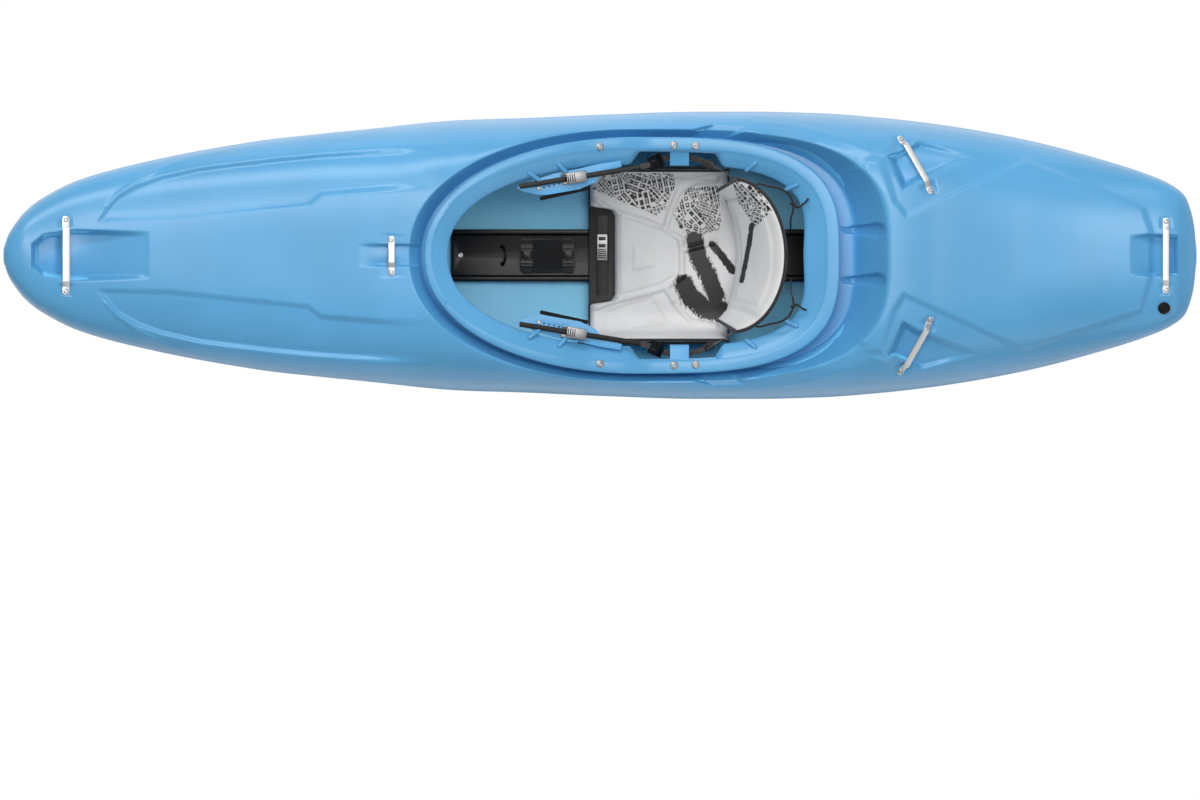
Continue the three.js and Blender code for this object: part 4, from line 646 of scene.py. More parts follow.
def spline(points, count):
    """A smooth curve through points: Catmull-Rom pieces, resampled to even lengths."""
    points = np.asarray(points, float)
    padded = np.vstack([2 * points[0] - points[1], points, 2 * points[-1] - points[-2]])
    t = np.linspace(0, 1, 24, endpoint=False)[:, None]
    pieces = []
    for a, b, c, d in zip(padded, padded[1:], padded[2:], padded[3:]):
        pieces.append(0.5 * (2 * b + (c - a) * t + (2 * a - 5 * b + 4 * c - d) * t ** 2
                             + (3 * b - a - 3 * c + d) * t ** 3))
    dense = np.vstack(pieces + [points[-1:]])
    length = ring_path(dense)
    even = np.linspace(0, length[-1], count)
    return np.column_stack([np.interp(even, length, dense[:, i]) for i in range(dense.shape[1])])


def swept(path, profile, across, scale=None):
    """Carries a closed profile along a path. The profile's first number lies along the
    across vectors and its second along the path's own normal to them. Ends are closed."""
    path = np.asarray(path, float)
    tangent = np.gradient(path, axis=0)
    tangent /= np.linalg.norm(tangent, axis=1)[:, None]
    side = np.broadcast_to(np.asarray(across, float), path.shape).copy()
    side -= (side * tangent).sum(1)[:, None] * tangent
    side /= np.linalg.norm(side, axis=1)[:, None]
    up = np.cross(tangent, side)
    profile = np.asarray(profile, float)
    size = np.ones((len(path), 1)) if scale is None else np.asarray(scale, float).reshape(-1, 1)
    rings = (path[:, None, :] + side[:, None, :] * (profile[:, 0] * size)[..., None]
             + up[:, None, :] * (profile[:, 1] * size)[..., None])
    count = len(profile)
    run = np.repeat(ring_path(path), count)
    around = np.tile(np.arange(count) / count, len(path))
    return rings.reshape(-1, 3), closed_tube(len(path), count), np.column_stack([run, around])


def rounded_strip(width, thickness, steps):
    """Outline of a flat strip with rounded edges: a box whose corners are quarter circles."""
    radius = min(width, thickness) * 0.42
    corners = []
    for sx, sy, start in ((1, 1, 0), (-1, 1, 90), (-1, -1, 180), (1, -1, 270)):
        angle = np.radians(np.linspace(start, start + 90, steps + 1))
        corners.append(np.column_stack([
            sx * (width / 2 - radius) + radius * np.cos(angle),
            sy * (thickness / 2 - radius) + radius * np.sin(angle),
        ]))
    return np.vstack(corners)


def circle(radius, count):
    """Outline of a circle."""
    angle = np.linspace(0, 2 * math.pi, count, endpoint=False)
    return np.column_stack([radius * np.cos(angle), radius * np.sin(angle)])


def rounded_outline(corners, radius, steps=4):
    """A polygon's outline with each corner replaced by a quadratic curve of the given reach."""
    corners = np.asarray(corners, float)
    out = []
    for before, at, after in zip(np.roll(corners, 1, 0), corners, np.roll(corners, -1, 0)):
        into, away = before - at, after - at
        reach = min(radius, np.linalg.norm(into) * 0.45, np.linalg.norm(away) * 0.45)
        start = at + into / np.linalg.norm(into) * reach
        end = at + away / np.linalg.norm(away) * reach
        t = np.linspace(0, 1, steps + 1)[:, None]
        out.append(start * (1 - t) ** 2 + 2 * at * t * (1 - t) + end * t ** 2)
    return np.vstack(out)


def outline_normals(outline):
    """Outward unit normals at the points of a counter-clockwise outline."""
    run = np.roll(outline, -1, 0) - np.roll(outline, 1, 0)
    run /= np.linalg.norm(run, axis=1)[:, None] + 1e-12
    return np.column_stack([run[:, 1], -run[:, 0]])


def slab(outline, low, high, edge, steps=3):
    """A plate with rounded edges: the outline, drawn in along quarter circles at both faces."""
    outline = np.asarray(outline, float)
    area = np.sum(outline[:, 0] * np.roll(outline[:, 1], -1) - outline[:, 1] * np.roll(outline[:, 0], -1))
    if area < 0:
        outline = outline[::-1]
    normals = outline_normals(outline)
    angle = np.linspace(0, math.pi / 2, steps + 1)
    rows = list(zip(edge * (1 - np.sin(angle)), low + edge * (1 - np.cos(angle))))
    rows += [(inset, high - (z - low)) for inset, z in rows[::-1]]
    rings = [np.column_stack([outline - normals * inset, np.full(len(outline), z)]) for inset, z in rows]
    return np.vstack(rings), closed_tube(len(rings), len(outline))


def rectangle(centre, size):
    """Corners of a rectangle in plan, counter-clockwise."""
    (x, y), (length, width) = centre, size
    return [(x + sx * length / 2, y + sy * width / 2) for sx, sy in ((-1, -1), (1, -1), (1, 1), (-1, 1))]


def plate(centre, size, heights, corner, edge, steps=4):
    """A rectangular plate between two heights, with rounded corners and edges."""
    return slab(rounded_outline(rectangle(centre, size), corner, steps), *heights, edge)


def lathe(profile, count):
    """A solid of revolution about Z from [radius, height] rows, closed at both ends."""
    profile = np.asarray(profile, float)
    angle = np.linspace(0, 2 * math.pi, count, endpoint=False)
    rings = np.stack([profile[:, 0, None] * np.cos(angle), profile[:, 0, None] * np.sin(angle),
                      np.repeat(profile[:, 1, None], count, 1)], -1)
    return rings.reshape(-1, 3), closed_tube(len(profile), count)


def headed_pin(rings, radius, heights, outline):
    """A turned pin with a head, whose rings pass from a circle to another outline. The heights
    are the pin's foot, the head's base and the head's height. Each ring holds a share of the
    radius, a share of the head's height, and how far the outline shows there."""
    foot, base, height = heights
    rows = [(rings[0][0], foot, 0)] + [(share, base + height * z, shown) for share, z, shown in rings]
    count = len(outline)
    angle = np.linspace(0, 2 * math.pi, count, endpoint=False)
    points = []
    for share, z, shown in rows:
        reach = radius * share * (1 + (outline - 1) * shown)
        points.append(np.column_stack([reach * np.cos(angle), reach * np.sin(angle), np.full(count, z)]))
    return np.vstack(points), closed_tube(len(rows), count)


def axes_at(point, up, along=(1, 0, 0)):
    """A frame at a point: Z is up, X lies near along, as rows of a 3 x 3 array."""
    z = np.asarray(up, float) / np.linalg.norm(up)
    y = np.cross(z, np.asarray(along, float))
    y /= np.linalg.norm(y)
    return np.asarray(point, float), np.array([np.cross(y, z), y, z])


def placed(points, seat):
    """Points of a local shape put at a frame."""
    origin, axes = seat
    return np.asarray(points, float) @ axes + origin


def moved(seat, offset):
    """A frame moved by an offset along its own axes."""
    return placed([offset], seat)[0], seat[1]


def seated(shape, seat):
    """A local shape put at a frame."""
    return placed(shape[0], seat), shape[1]


def joined(*shapes):
    """Several (points, faces) shapes as one."""
    points, faces, start = [], [], 0
    for shape in shapes:
        points.append(np.asarray(shape[0]))
        faces += [[i + start for i in face] for face in shape[1]]
        start += len(shape[0])
    return np.vstack(points), faces


def across_keel(shape, side):
    """A starboard shape, or its mirror image with its faces turned back outwards."""
    if side > 0:
        return shape
    points = np.asarray(shape[0]) * np.array([1, -1, 1])
    return (points, [list(face)[::-1] for face in shape[1]]) + tuple(shape[2:])


def linked(name, data):
    """A new object in the scene."""
    thing = bpy.data.objects.new(name, data)
    bpy.context.scene.collection.objects.link(thing)
    return thing


def dress(piece, body, slot, replaced, angle, material):
    """Shades a piece, gives it its material, which is its slot's finish unless one is given, hangs it
    on its body and hides the nodes it stands for.
    """
    shade(piece, angle)
    piece.data.materials.append(material or shared_finish(SLOT_FINISHES[slot]))
    if replaced:
        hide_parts(*replaced)
    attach(piece, body)


def make_piece(name, shape, body, slot, replaced=(), angle=40, material=None, sealed=False):
    """Puts a shape of points, faces and perhaps a UV place for each point into a mesh object. A
    sealed piece has its doubled points merged and its faces turned outwards."""
    points, faces, *uv = shape
    mesh = bpy.data.meshes.new(name)
    mesh.from_pydata(np.asarray(points).tolist(), [], [list(map(int, face)) for face in faces])
    mesh.update()
    piece = linked(name, mesh)
    if uv:
        layer = mesh.uv_layers.new(name="UVMap")
        corner = np.empty(len(mesh.loops), np.int32)
        mesh.loops.foreach_get("vertex_index", corner)
        layer.data.foreach_set("uv", np.asarray(uv[0], np.float32)[corner].ravel())
    dress(piece, body, slot, replaced, angle, material)
    if sealed:
        weld(piece, SEAM, outwards=True)
    return piece


def shade(piece, angle):
    """Smooth shading with edges sharper than an angle left crisp."""
    mesh = piece.data
    mesh.polygons.foreach_set("use_smooth", np.ones(len(mesh.polygons), bool))
    mesh.set_sharp_from_angle(angle=math.radians(angle))
    mesh.update()


def points_of(piece):
    """A piece's points as an array."""
    points = np.empty(len(piece.data.vertices) * 3, np.float32)
    piece.data.vertices.foreach_get("co", points)
    return points.reshape(-1, 3).astype(float)


def place_points(piece, points):
    """Puts a piece's points at new places."""
    piece.data.vertices.foreach_set("co", points.astype(np.float32).ravel())
    piece.data.update()


@contextlib.contextmanager
def edited(mesh):
    """A mesh opened for editing, and written back at the end."""
    work = bmesh.new()
    work.from_mesh(mesh)
    yield work
    work.to_mesh(mesh)
    work.free()
    mesh.update()


def weld(piece, distance, outwards=False):
    """Merges doubled points, and turns the faces outwards if asked."""
    with edited(piece.data) as work:
        bmesh.ops.remove_doubles(work, verts=work.verts, dist=distance)
        if outwards:
            bmesh.ops.recalc_face_normals(work, faces=work.faces)


class Wire:
    """A shader socket that sums, multiplies and compares with other sockets or numbers."""

    def __init__(self, maker, socket):
        self.maker = maker
        self.socket = socket

    def math(self, operation, other=None, third=None):
        values = [self] + [v for v in (other, third) if v is not None]
        return self.maker.add("ShaderNodeMath", {"operation": operation}, values)

    def __add__(self, other):
        return self.math("ADD", other)

    __radd__ = __add__

    def __sub__(self, other):
        return self.math("SUBTRACT", other)

    def __rsub__(self, other):
        return self.maker.add("ShaderNodeMath", {"operation": "SUBTRACT"}, [other, self])

    def __mul__(self, other):
        return self.math("MULTIPLY", other)

    __rmul__ = __mul__

    def __truediv__(self, other):
        return self.math("DIVIDE", other)

    def __gt__(self, other):
        return self.math("GREATER_THAN", other)

    def __lt__(self, other):
        return self.math("LESS_THAN", other)


class Maker:
    """One material's node tree."""

    def __init__(self, name):
        self.material = bpy.data.materials.new(name)
        self.material.use_nodes = True
        self.tree = self.material.node_tree
        self.tree.nodes.clear()

    def add(self, kind, settings=None, values=None, output=0):
        """Adds a node: its settings first, then its inputs by name or place."""
        node = self.tree.nodes.new(kind)
        for key, value in (settings or {}).items():
            if key == "stops":
                ramp = node.color_ramp.elements
                for place, colour in value[len(ramp):]:
                    ramp.new(place)
                for element, (place, colour) in zip(ramp, value):
                    element.position = place
                    element.color = (*colour, 1.0) if len(colour) == 3 else colour
            else:
                setattr(node, key, value)
        items = values.items() if isinstance(values, dict) else enumerate(values or [])
        for key, value in items:
            socket = node.inputs[key]
            if isinstance(value, Wire):
                self.tree.links.new(value.socket, socket)
            elif value is not None:
                socket.default_value = value
        return Wire(self, node.outputs[output])

    def place(self):
        """The piece's own place in space."""
        return self.add("ShaderNodeTexCoord", output="Object")

    def uv(self):
        """The piece's own UV map."""
        return self.add("ShaderNodeTexCoord", output="UV")

    def axis(self, vector, name):
        """One axis of a vector."""
        return self.add("ShaderNodeSeparateXYZ", None, [vector], output="XYZ".index(name))

    def noise(self, vector, scale, detail=3.0, rough=0.5):
        """Smooth noise from 0 to 1."""
        return self.add("ShaderNodeTexNoise", None, {
            "Vector": vector, "Scale": scale, "Detail": detail, "Roughness": rough})

    def stretched(self, vector, scales, turn=(0, 0, 0)):
        """A vector turned and scaled along its axes."""
        return self.add("ShaderNodeMapping", None, {
            "Vector": vector, "Rotation": turn, "Scale": scales})

    def step(self, value, low, high):
        """0 below low and 1 above high, smooth between."""
        return self.add("ShaderNodeMapRange", {"interpolation_type": "SMOOTHSTEP"},
                        {"Value": value, "From Min": low, "From Max": high})

    def blend(self, share, first, second):
        """A colour mixed from two by a share."""
        return self.add("ShaderNodeMix", {"data_type": "RGBA"}, {0: share, 6: first, 7: second}, output=2)

    def bump(self, height, distance, strength):
        """A bump from a height map."""
        return self.add("ShaderNodeBump", None, {
            "Strength": strength, "Distance": distance, "Height": height})

    def finish(self, colour, rough, bump=None, metallic=0.0, **constants):
        """Ends the tree in a Principled shader."""
        values = {"Base Color": colour, "Roughness": rough, "Metallic": metallic}
        if bump is not None:
            values["Normal"] = bump
        values.update({key.replace("_", " "): value for key, value in constants.items()})
        self.add_output(self.add("ShaderNodeBsdfPrincipled", None, values))
        return self.material

    def add_output(self, shader):
        """Links a shader to the material's output."""
        node = self.tree.nodes.new("ShaderNodeOutputMaterial")
        self.tree.links.new(shader.socket, node.inputs["Surface"])


def tinted(colour, gain=1.0, lift=0.0):
    """A colour scaled and lifted, up to white, with full alpha."""
    return (*(min(1.0, value * gain + lift) for value in colour), 1.0)


def moulded_plastic(name, colour, rough, grain=0.00012, variation=0.05):
    """Rotomoulded polyethylene: one colour with a faint cloudy variation, an orange-peel
    surface and hairline scuffs that only catch the light."""
    m = Maker(name)
    place = m.place()
    cloud = m.noise(place, 3.5, 3.0)
    fine = m.noise(place, 520.0, 2.0)
    scuff = m.noise(m.stretched(place, (14, 160, 160)), 6.0, 4.0, 0.6)
    darker, lighter = tinted(colour, 1 - variation), tinted(colour, 1 + variation)
    tint = m.blend(m.step(cloud, 0.35, 0.65), darker, lighter)
    streak = m.step(scuff, 0.62, 0.74)
    roughness = rough + (cloud - 0.5) * 0.06 + streak * 0.08
    bump = m.bump(fine + streak * 0.4, grain, 0.35)
    return m.finish(tint, roughness, bump, Specular_IOR_Level=0.5)


def brushed_metal(name, colour, along, rough):
    """Metal brushed one way: noise drawn out along the brushing."""
    m = Maker(name)
    place = m.place()
    lines = m.noise(m.stretched(place, tuple(30 if a else 900 for a in along)), 1.0, 3.0, 0.7)
    tint = m.blend(lines, tinted(colour, 0.8), tinted(colour))
    return m.finish(tint, rough + lines * 0.18, m.bump(lines, BRUSH_DEPTH, 0.5), metallic=1.0)


def black_moulding(name, colour, rough):
    """Black moulded plastic with a fine leather-like grain and worn, paler high spots."""
    m = Maker(name)
    place = m.place()
    grain = m.add("ShaderNodeTexVoronoi", {"feature": "SMOOTH_F1"}, {"Vector": place, "Scale": 900.0})
    haze = m.noise(place, 22.0, 3.0)
    tint = m.blend(m.step(haze, 0.45, 0.8), tinted(colour), tinted(colour, 1.7, 0.004))
    return m.finish(tint, rough + haze * 0.16, m.bump(grain, LEATHER_DEPTH, 0.4), Specular_IOR_Level=0.3)


def woven(name, colour, thread, on_uv=False, rough=0.85):
    """Plain-woven cloth: warp and weft ridges that pass over each other."""
    m = Maker(name)
    vector = m.uv() if on_uv else m.place()
    turns = math.pi / thread
    x = (m.axis(vector, "X") * turns).math("SINE")
    y = (m.axis(vector, "Y") * turns).math("SINE")
    z = (m.axis(vector, "Z") * turns).math("SINE")
    weave = x * y if on_uv else x * y + y * z + z * x
    fibre = m.noise(vector, 700.0, 2.0)
    worn = m.noise(vector, 16.0, 3.0)
    shade_share = m.step(weave * 0.3 + fibre * 0.5 + worn * 0.3, 0.2, 0.9)
    tint = m.blend(shade_share, tinted(colour, 0.55), tinted(colour, 1.25))
    return m.finish(tint, rough, m.bump(weave, thread * 0.35, 0.6), Sheen_Weight=0.25)


def closed_foam(name, colour):
    """Closed-cell foam: fine open pores on a cut face."""
    m = Maker(name)
    place = m.place()
    cells = m.add("ShaderNodeTexVoronoi", None, {"Vector": place, "Scale": 420.0})
    cloud = m.noise(place, 12.0, 3.0)
    tint = m.blend(m.step(cells + cloud * 0.4, 0.2, 0.9), tinted(colour, 0.6), tinted(colour))
    return m.finish(tint, 0.95, m.bump(cells, PORE_DEPTH, 0.5))


def coated_cover(name, colour, ink):
    """Coated white fabric with a printed pattern. A fine grain and small soft creases cover it; where
    the piece's print attribute is 1 it carries rows of short ink dashes, and where its second attribute
    is 1 a dark ragged mark: a dry brush mark on the seat, painted shadow across the backband's fold."""
    m = Maker(name)
    place = m.place()
    grain = m.noise(place, 900.0, 2.0)
    crease = m.noise(place, 26.0, 4.0, 0.6)
    soil = m.noise(place, 9.0, 3.0)
    base = m.blend(m.step(soil, 0.4, 0.75), tinted(colour), tinted(colour, 0.9))
    patch = m.add("ShaderNodeTexVoronoi", {"voronoi_dimensions": "2D"}, {"Vector": place, "Scale": 26.0},
                  output="Color")
    seed = m.axis(patch, "X")
    tilted = m.add("ShaderNodeVectorRotate", {"rotation_type": "Z_AXIS"},
                   {"Vector": place, "Angle": 0.35 + (seed * 3.0).math("FLOOR") * 0.5})
    pitch = 80.0 + (m.axis(patch, "Y") * 3.0).math("FLOOR") * 42.0
    row = m.axis(tilted, "Y") * pitch
    cell = m.axis(tilted, "X") * pitch * 0.85
    within, across = row.math("FRACT"), cell.math("FRACT")
    tag = m.add("ShaderNodeCombineXYZ", None, [cell.math("FLOOR"), row.math("FLOOR"), seed])
    luck = m.add("ShaderNodeTexWhiteNoise", {"noise_dimensions": "3D"}, {"Vector": tag}, output="Color")
    bold, wide, split = (m.axis(luck, axis) for axis in "XYZ")
    bar = m.step(within, 0.10, 0.16) * (1 - m.step(within, 0.78, 0.84))
    bar = bar * m.step(across, 0.04, 0.10) * (1 - m.step(across, 0.62 + wide * 0.4, 0.70 + wide * 0.4))
    hollow_in = ((within - 0.47).math("ABSOLUTE") < 0.15) * ((across - 0.36).math("ABSOLUTE") < 0.16)
    cut = (within - 0.47).math("ABSOLUTE") < 0.06
    marks = bar * (1 - hollow_in * (split > 0.62)) * (1 - cut * (split < 0.3)) * (bold > 0.06)
    zone = m.add("ShaderNodeAttribute", {"attribute_name": "print"}, output="Fac")
    marks = marks * m.step(zone, 0.45, 0.55)
    # Dark ragged marks where the second attribute is set: dry brush marks on the seat, and painted shadow in
    # the stripe across the backband's fold
    smear_and_shadow_zone = m.add("ShaderNodeAttribute", {"attribute_name": "smear"}, output="Fac")
    dry = m.noise(m.stretched(place, (170, 60, 60), (0, 0, 0.9)), 1.0, 4.0, 0.7)
    speckle = m.noise(place, 480.0, 2.0)
    ragged = smear_and_shadow_zone * 1.6 + (dry - 0.5) * 2.2 + (speckle - 0.5) * 1.8
    smear = m.step(ragged, 0.76, 0.82)
    share = marks.math("MAXIMUM", smear)
    tint = m.blend(share, base, tinted(ink))
    rough = 0.52 + grain * 0.12 - share * 0.08
    bump = m.bump(grain * 0.35 + crease * 1.6, CREASE_DEPTH, 0.5)
    return m.finish(tint, rough, bump, Sheen_Weight=0.08)


def plain_rubber(name, colour):
    """Matt rubber with a fine bloom."""
    m = Maker(name)
    bloom = m.noise(m.place(), 60.0, 3.0)
    tint = m.blend(m.step(bloom, 0.4, 0.8), tinted(colour), tinted(colour, 2, 0.01))
    return m.finish(tint, 0.7 + bloom * 0.15, m.bump(bloom, BLOOM_DEPTH, 0.3))


# Finishes that several groups of pieces share: what makes each, then its colours, as a value or
# as the name of a setting, and what else it takes
FINISHES = {
    "fitting_plastic": (moulded_plastic, "fittings", 0.36),
    "bar_alloy": (brushed_metal, rgb(236, 236, 236), (0, 1, 0), 0.36),
    "screw_steel": (brushed_metal, rgb(190, 190, 190), (0, 0, 1), 0.26),
    "ratchet_metal": (brushed_metal, rgb(150, 150, 150), (1, 0, 0), 0.3),
    "black_moulding": (black_moulding, rgb(8, 8, 9), 0.24),
    "black_cloth": (woven, rgb(20, 20, 21), 0.0011),
    "dark_binding": (woven, rgb(44, 44, 46), 0.0008),
    "cord_braid": (woven, rgb(7, 7, 8), 0.0010),
    "grey_webbing": (woven, rgb(78, 74, 71), 0.0010, True),
    "black_foam": (closed_foam, rgb(14, 14, 15)),
    "grey_foam": (closed_foam, rgb(62, 64, 66)),
    "plug_rubber": (plain_rubber, rgb(20, 20, 20)),
    "seat_cover": (coated_cover, "cover", "print_ink"),
}
# The finish of each slot, for pieces that name no other
SLOT_FINISHES = {
    "fitting_blue": "fitting_plastic", "bar_alloy": "bar_alloy", "screw_steel": "screw_steel",
    "ratchet_grey": "ratchet_metal", "black_plastic": "black_moulding", "black_fabric": "dark_binding",
    "black_rubber": "plug_rubber", "grey_webbing": "grey_webbing", "grey_foam": "grey_foam",
    "white_cover": "seat_cover",
}


def shared_finish(name):
    """A shared material, made when it is first asked for."""
    full_name = f"{name}_finish"
    if full_name in bpy.data.materials:
        return bpy.data.materials[full_name]
    settings = bpy.context.scene.kayak_colours
    maker, *values = FINISHES[name]
    return maker(full_name, *(tuple(getattr(settings, v)) if isinstance(v, str) else v for v in values))


def section_shares():
    """Places across the deck from port (-1) to starboard (1): even over the middle, and
    crowding with a cube towards the gunwales where the deck turns down."""
    flat = np.linspace(0, 0.94, DECK_COLUMNS, endpoint=False)
    turn = 1 - 0.06 * np.linspace(1, 0, GUNWALE_COLUMNS) ** 3
    half = np.concatenate([flat, turn])
    return np.concatenate([-half[:0:-1], half])


def dress_sides(points):
    """Raises the chine along the hull's widest edge, and presses the side bolt's shallow
    pocket into the sides."""
    width, height = SIDE_POCKET["size"]
    x, y, z = points[..., 0], points[..., 1], points[..., 2]
    half, _, edge, _, _ = hull_lines(x)
    outer = np.clip(np.abs(y) / half * 10 - 8.5, 0, 1)
    whole = smooth_step(*CHINE_BREAK, np.abs(x - SIDE_POCKET["aft"]))
    chine = CHINE[0] * np.exp(-((z - edge) / CHINE[1]) ** 2) * outer * whole
    y = y + np.sign(y) * chine
    across = np.abs(x - SIDE_POCKET["aft"]) - width / 2
    up = np.abs(z - SIDE_POCKET["height"]) - height / 2
    soft = SIDE_POCKET["soft"]
    inside = smooth_step(soft, -soft, np.maximum(across, up)) * (np.abs(y) > HULL_BEAM / 3)
    points[..., 1] = y - np.sign(y) * inside * (SIDE_POCKET["depth"] + chine)
    return points


def deck_rows(low, high, step, inset):
    """The deck over a stretch of hull: x even, y a share of the half beam, z the deck's
    height at the outer skin's matching point less the inset."""
    xs = np.linspace(low, high, max(2, round((high - low) / step)) + 1)
    shares = section_shares()
    half = hull_lines(xs)[0]
    x = np.repeat(xs[:, None], len(shares), 1)
    outer = half[:, None] * shares[None, :]
    z = np.where(np.abs(shares) >= 1, hull_lines(x)[2], deck_height(x, outer))
    y = outer * ((half - inset) / half)[:, None]
    return np.stack([x, y, z - inset * (np.abs(shares) < 1)], -1)


def cockpit_patch(inset, step):
    """The deck round the cockpit: straight lines in plan from the border of the patch, which
    is the two gunwales and a section at each end, in to the moat's oval; the places on
    them crowd with a cube towards the gunwale. Then the moat and the coaming, whose
    rings all share one angle per column."""
    shares = section_shares()
    low, high = PATCH_SPAN
    xs = np.linspace(high, low, round((high - low) / step) + 1)
    half = hull_lines(xs)[0]
    border = np.concatenate([
        np.column_stack([xs, half]),
        np.column_stack([np.full(len(shares) - 2, low), half[-1] * shares[-2:0:-1]]),
        np.column_stack([xs[::-1], -half[::-1]]),
        np.column_stack([np.full(len(shares) - 2, high), half[0] * shares[1:-1]]),
    ])
    edge_row = np.isclose(np.abs(border[:, 1]), hull_lines(border[:, 0])[0])
    direction = np.arctan2(border[:, 1], border[:, 0] - COCKPIT_AFT)
    front, rear, side, front_power, rear_power = MOAT_OVAL
    aft = np.cos(direction) >= 0
    reach, power = np.where(aft, rear, front), np.where(aft, rear_power, front_power)
    angle = np.arctan2(np.sign(np.sin(direction)) * np.abs(np.sin(direction) * reach) ** (power / 2),
                       np.sign(np.cos(direction)) * np.abs(np.cos(direction) * side) ** (power / 2))
    brim = np.stack(oval_points(MOAT_OVAL, angle), -1)
    run = np.linspace(0, 1, PATCH_ROWS + 1) ** 3
    run = 0.35 * np.linspace(0, 1, PATCH_ROWS + 1) + 0.65 * run
    run[1:6] = run[6] * np.linspace(0, 1, 7)[1:6] ** 3
    plan = border[None] + (brim - border)[None] * run[:, None, None]
    x, outer = plan[..., 0], plan[..., 1]
    half_here = hull_lines(x)[0]
    y = outer * (half_here - inset) / half_here
    at_edge = (np.arange(len(run)) == 0)[:, None] & edge_row[None]
    z = np.where(at_edge, hull_lines(x)[2], deck_height(x, outer) - inset)
    deck = np.stack([x, y, z], -1)
    rim = rim_height(angle)
    floor = rim - MOAT_DEPTH - inset
    foot = np.stack(oval_points(RIM_OVAL, angle, COAMING_PROFILE[0][1] if not inset else INNER_WALL), -1)
    brim_height = deck[-1, :, 2]
    rows = []
    for t in np.linspace(1, 0, MOAT_ROWS + 1)[1:]:
        x, y = (foot + (brim - foot) * t).T
        rise = straight_step(MOAT_FLOOR_SHARE, MOAT_BRIM_SHARE, t, 0.12)
        z = floor + (brim_height - floor) * rise
        for sign in (1, -1):
            z = np.minimum(z, notch_height(x, sign * y) - inset)
        z = z - slot_drop(x, y)
        rows.append(np.stack([x, y, z], -1))
    moat = np.stack(rows)
    if inset:
        return np.concatenate([deck, moat])
    return np.concatenate([deck, moat, coaming_rings(angle)[1:]])


def coaming_rings(angle):
    """The coaming: one ring for each row of its profile. The hanger notches pull the inner
    rows out to a straight wall, and the rear of the opening bulges a little inwards."""
    rim = rim_height(angle)
    start, end, soft = NOTCH_SPAN
    rings = []
    for number, (oval, inset, drop) in enumerate(COAMING_PROFILE):
        x, y = oval_points(oval, angle, inset)
        if number in NOTCH_ROWS:
            open_share = smooth_step(start, start + soft, x) * smooth_step(end, end - soft, x)
            wall = NOTCH_REACH + NOTCH_DRAFT * (number - NOTCH_ROWS[0])
            out = np.maximum(np.abs(y), wall)
            y = np.sign(y) * (np.abs(y) + (out - np.abs(y)) * open_share * (np.abs(y) > NOTCH_FROM))
            bulge = smooth_step(OPENING_BULGE[1], 0, np.abs(y)) * (x > COCKPIT_AFT)
            x = x - OPENING_BULGE[0] * bulge * smooth_step(*BULGE_ROWS, number)
        rings.append(np.stack([x, y, rim - drop], -1))
    return np.stack(rings)


def bilge_rows(step, inset, columns, low, high):
    """The hull below its widest edge: round the section from gunwale to gunwale,
    y = half cos(a)^(2/3), z = edge to keel by sin(a)^(2/1.6), and never below ground."""
    xs = np.linspace(low, high, round((high - low) / step) + 1)
    half, keel, edge, _, _ = hull_lines(xs)
    half = half - inset
    keel = np.maximum(keel + inset, inset)
    angle = np.linspace(0, math.pi, columns + 1)
    c = np.sign(np.cos(angle)) * np.abs(np.cos(angle)) ** (2 / BILGE_POWERS[0])
    s = np.sin(angle) ** (2 / BILGE_POWERS[1])
    x = np.repeat(xs[:, None], columns + 1, 1)
    y = half[:, None] * c[None]
    z = edge[:, None] + (np.minimum(keel, edge) - edge)[:, None] * s[None]
    return np.stack([x, y, np.maximum(z, inset)], -1)


def sheet_shape(grid, flip=False, wrap=False):
    """A grid of points as (points, faces)."""
    rows, columns = grid.shape[:2]
    faces = grid_faces(rows, columns, wrap)
    if flip:
        faces = faces[:, ::-1]
    return grid.reshape(-1, 3), faces.tolist()


def hull_sheets(inset, step, patch_step, columns):
    """The decks fore and aft, the cockpit patch and the bilge of one skin, facing outwards."""
    bow, stern = -HULL_LENGTH / 2 + 1.5 * inset, HULL_LENGTH / 2 - 1.5 * inset
    low, high = PATCH_SPAN
    decks = joined(sheet_shape(dress_sides(deck_rows(bow, low, step, inset)), flip=True),
                   sheet_shape(dress_sides(deck_rows(high, stern, step, inset)), flip=True))
    patch = sheet_shape(dress_sides(cockpit_patch(inset, patch_step)), wrap=True)
    bilge = sheet_shape(dress_sides(bilge_rows(step, inset, columns, bow, stern)), flip=True)
    return decks, patch, bilge


def tip_cap(deck_row, bilge_row, outwards):
    """The domed end of the bow or the stern: rings that shrink from the end section to its
    middle while they bulge outwards."""
    ring = np.vstack([deck_row, bilge_row[1:-1]])
    middle = ring.mean(0)
    shares = np.cos(np.linspace(0, math.pi / 2, 7))[:, None, None]
    rings = middle + (ring - middle)[None] * np.maximum(shares, 0.02)
    rings[..., 0] += outwards * TIP_BULGE * np.sqrt(1 - np.minimum(shares[..., 0], 1) ** 2)
    count = len(ring)
    faces = grid_faces(len(rings), count, wrap=True).tolist()
    faces.append([(len(rings) - 1) * count + i for i in range(count)])
    return rings.reshape(-1, 3), faces


def build_tips(material):
    """Both domed ends of the hull as one piece."""
    shapes = []
    for outwards in (-1, 1):
        x = outwards * HULL_LENGTH / 2
        span = sorted((x, x - outwards * HULL_STEP))
        row = 0 if outwards < 0 else -1
        deck = dress_sides(deck_rows(*span, HULL_STEP, 0.0))[row]
        bilge = dress_sides(bilge_rows(HULL_STEP, 0.0, BILGE_COLUMNS, *span))[row]
        shapes.append(tip_cap(deck, bilge, outwards))
    tips = make_piece("hull_tips", joined(*shapes), "boat", "hull_blue", angle=60, material=material)
    weld(tips, DOUBLES, outwards=True)
    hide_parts("hull_shell")


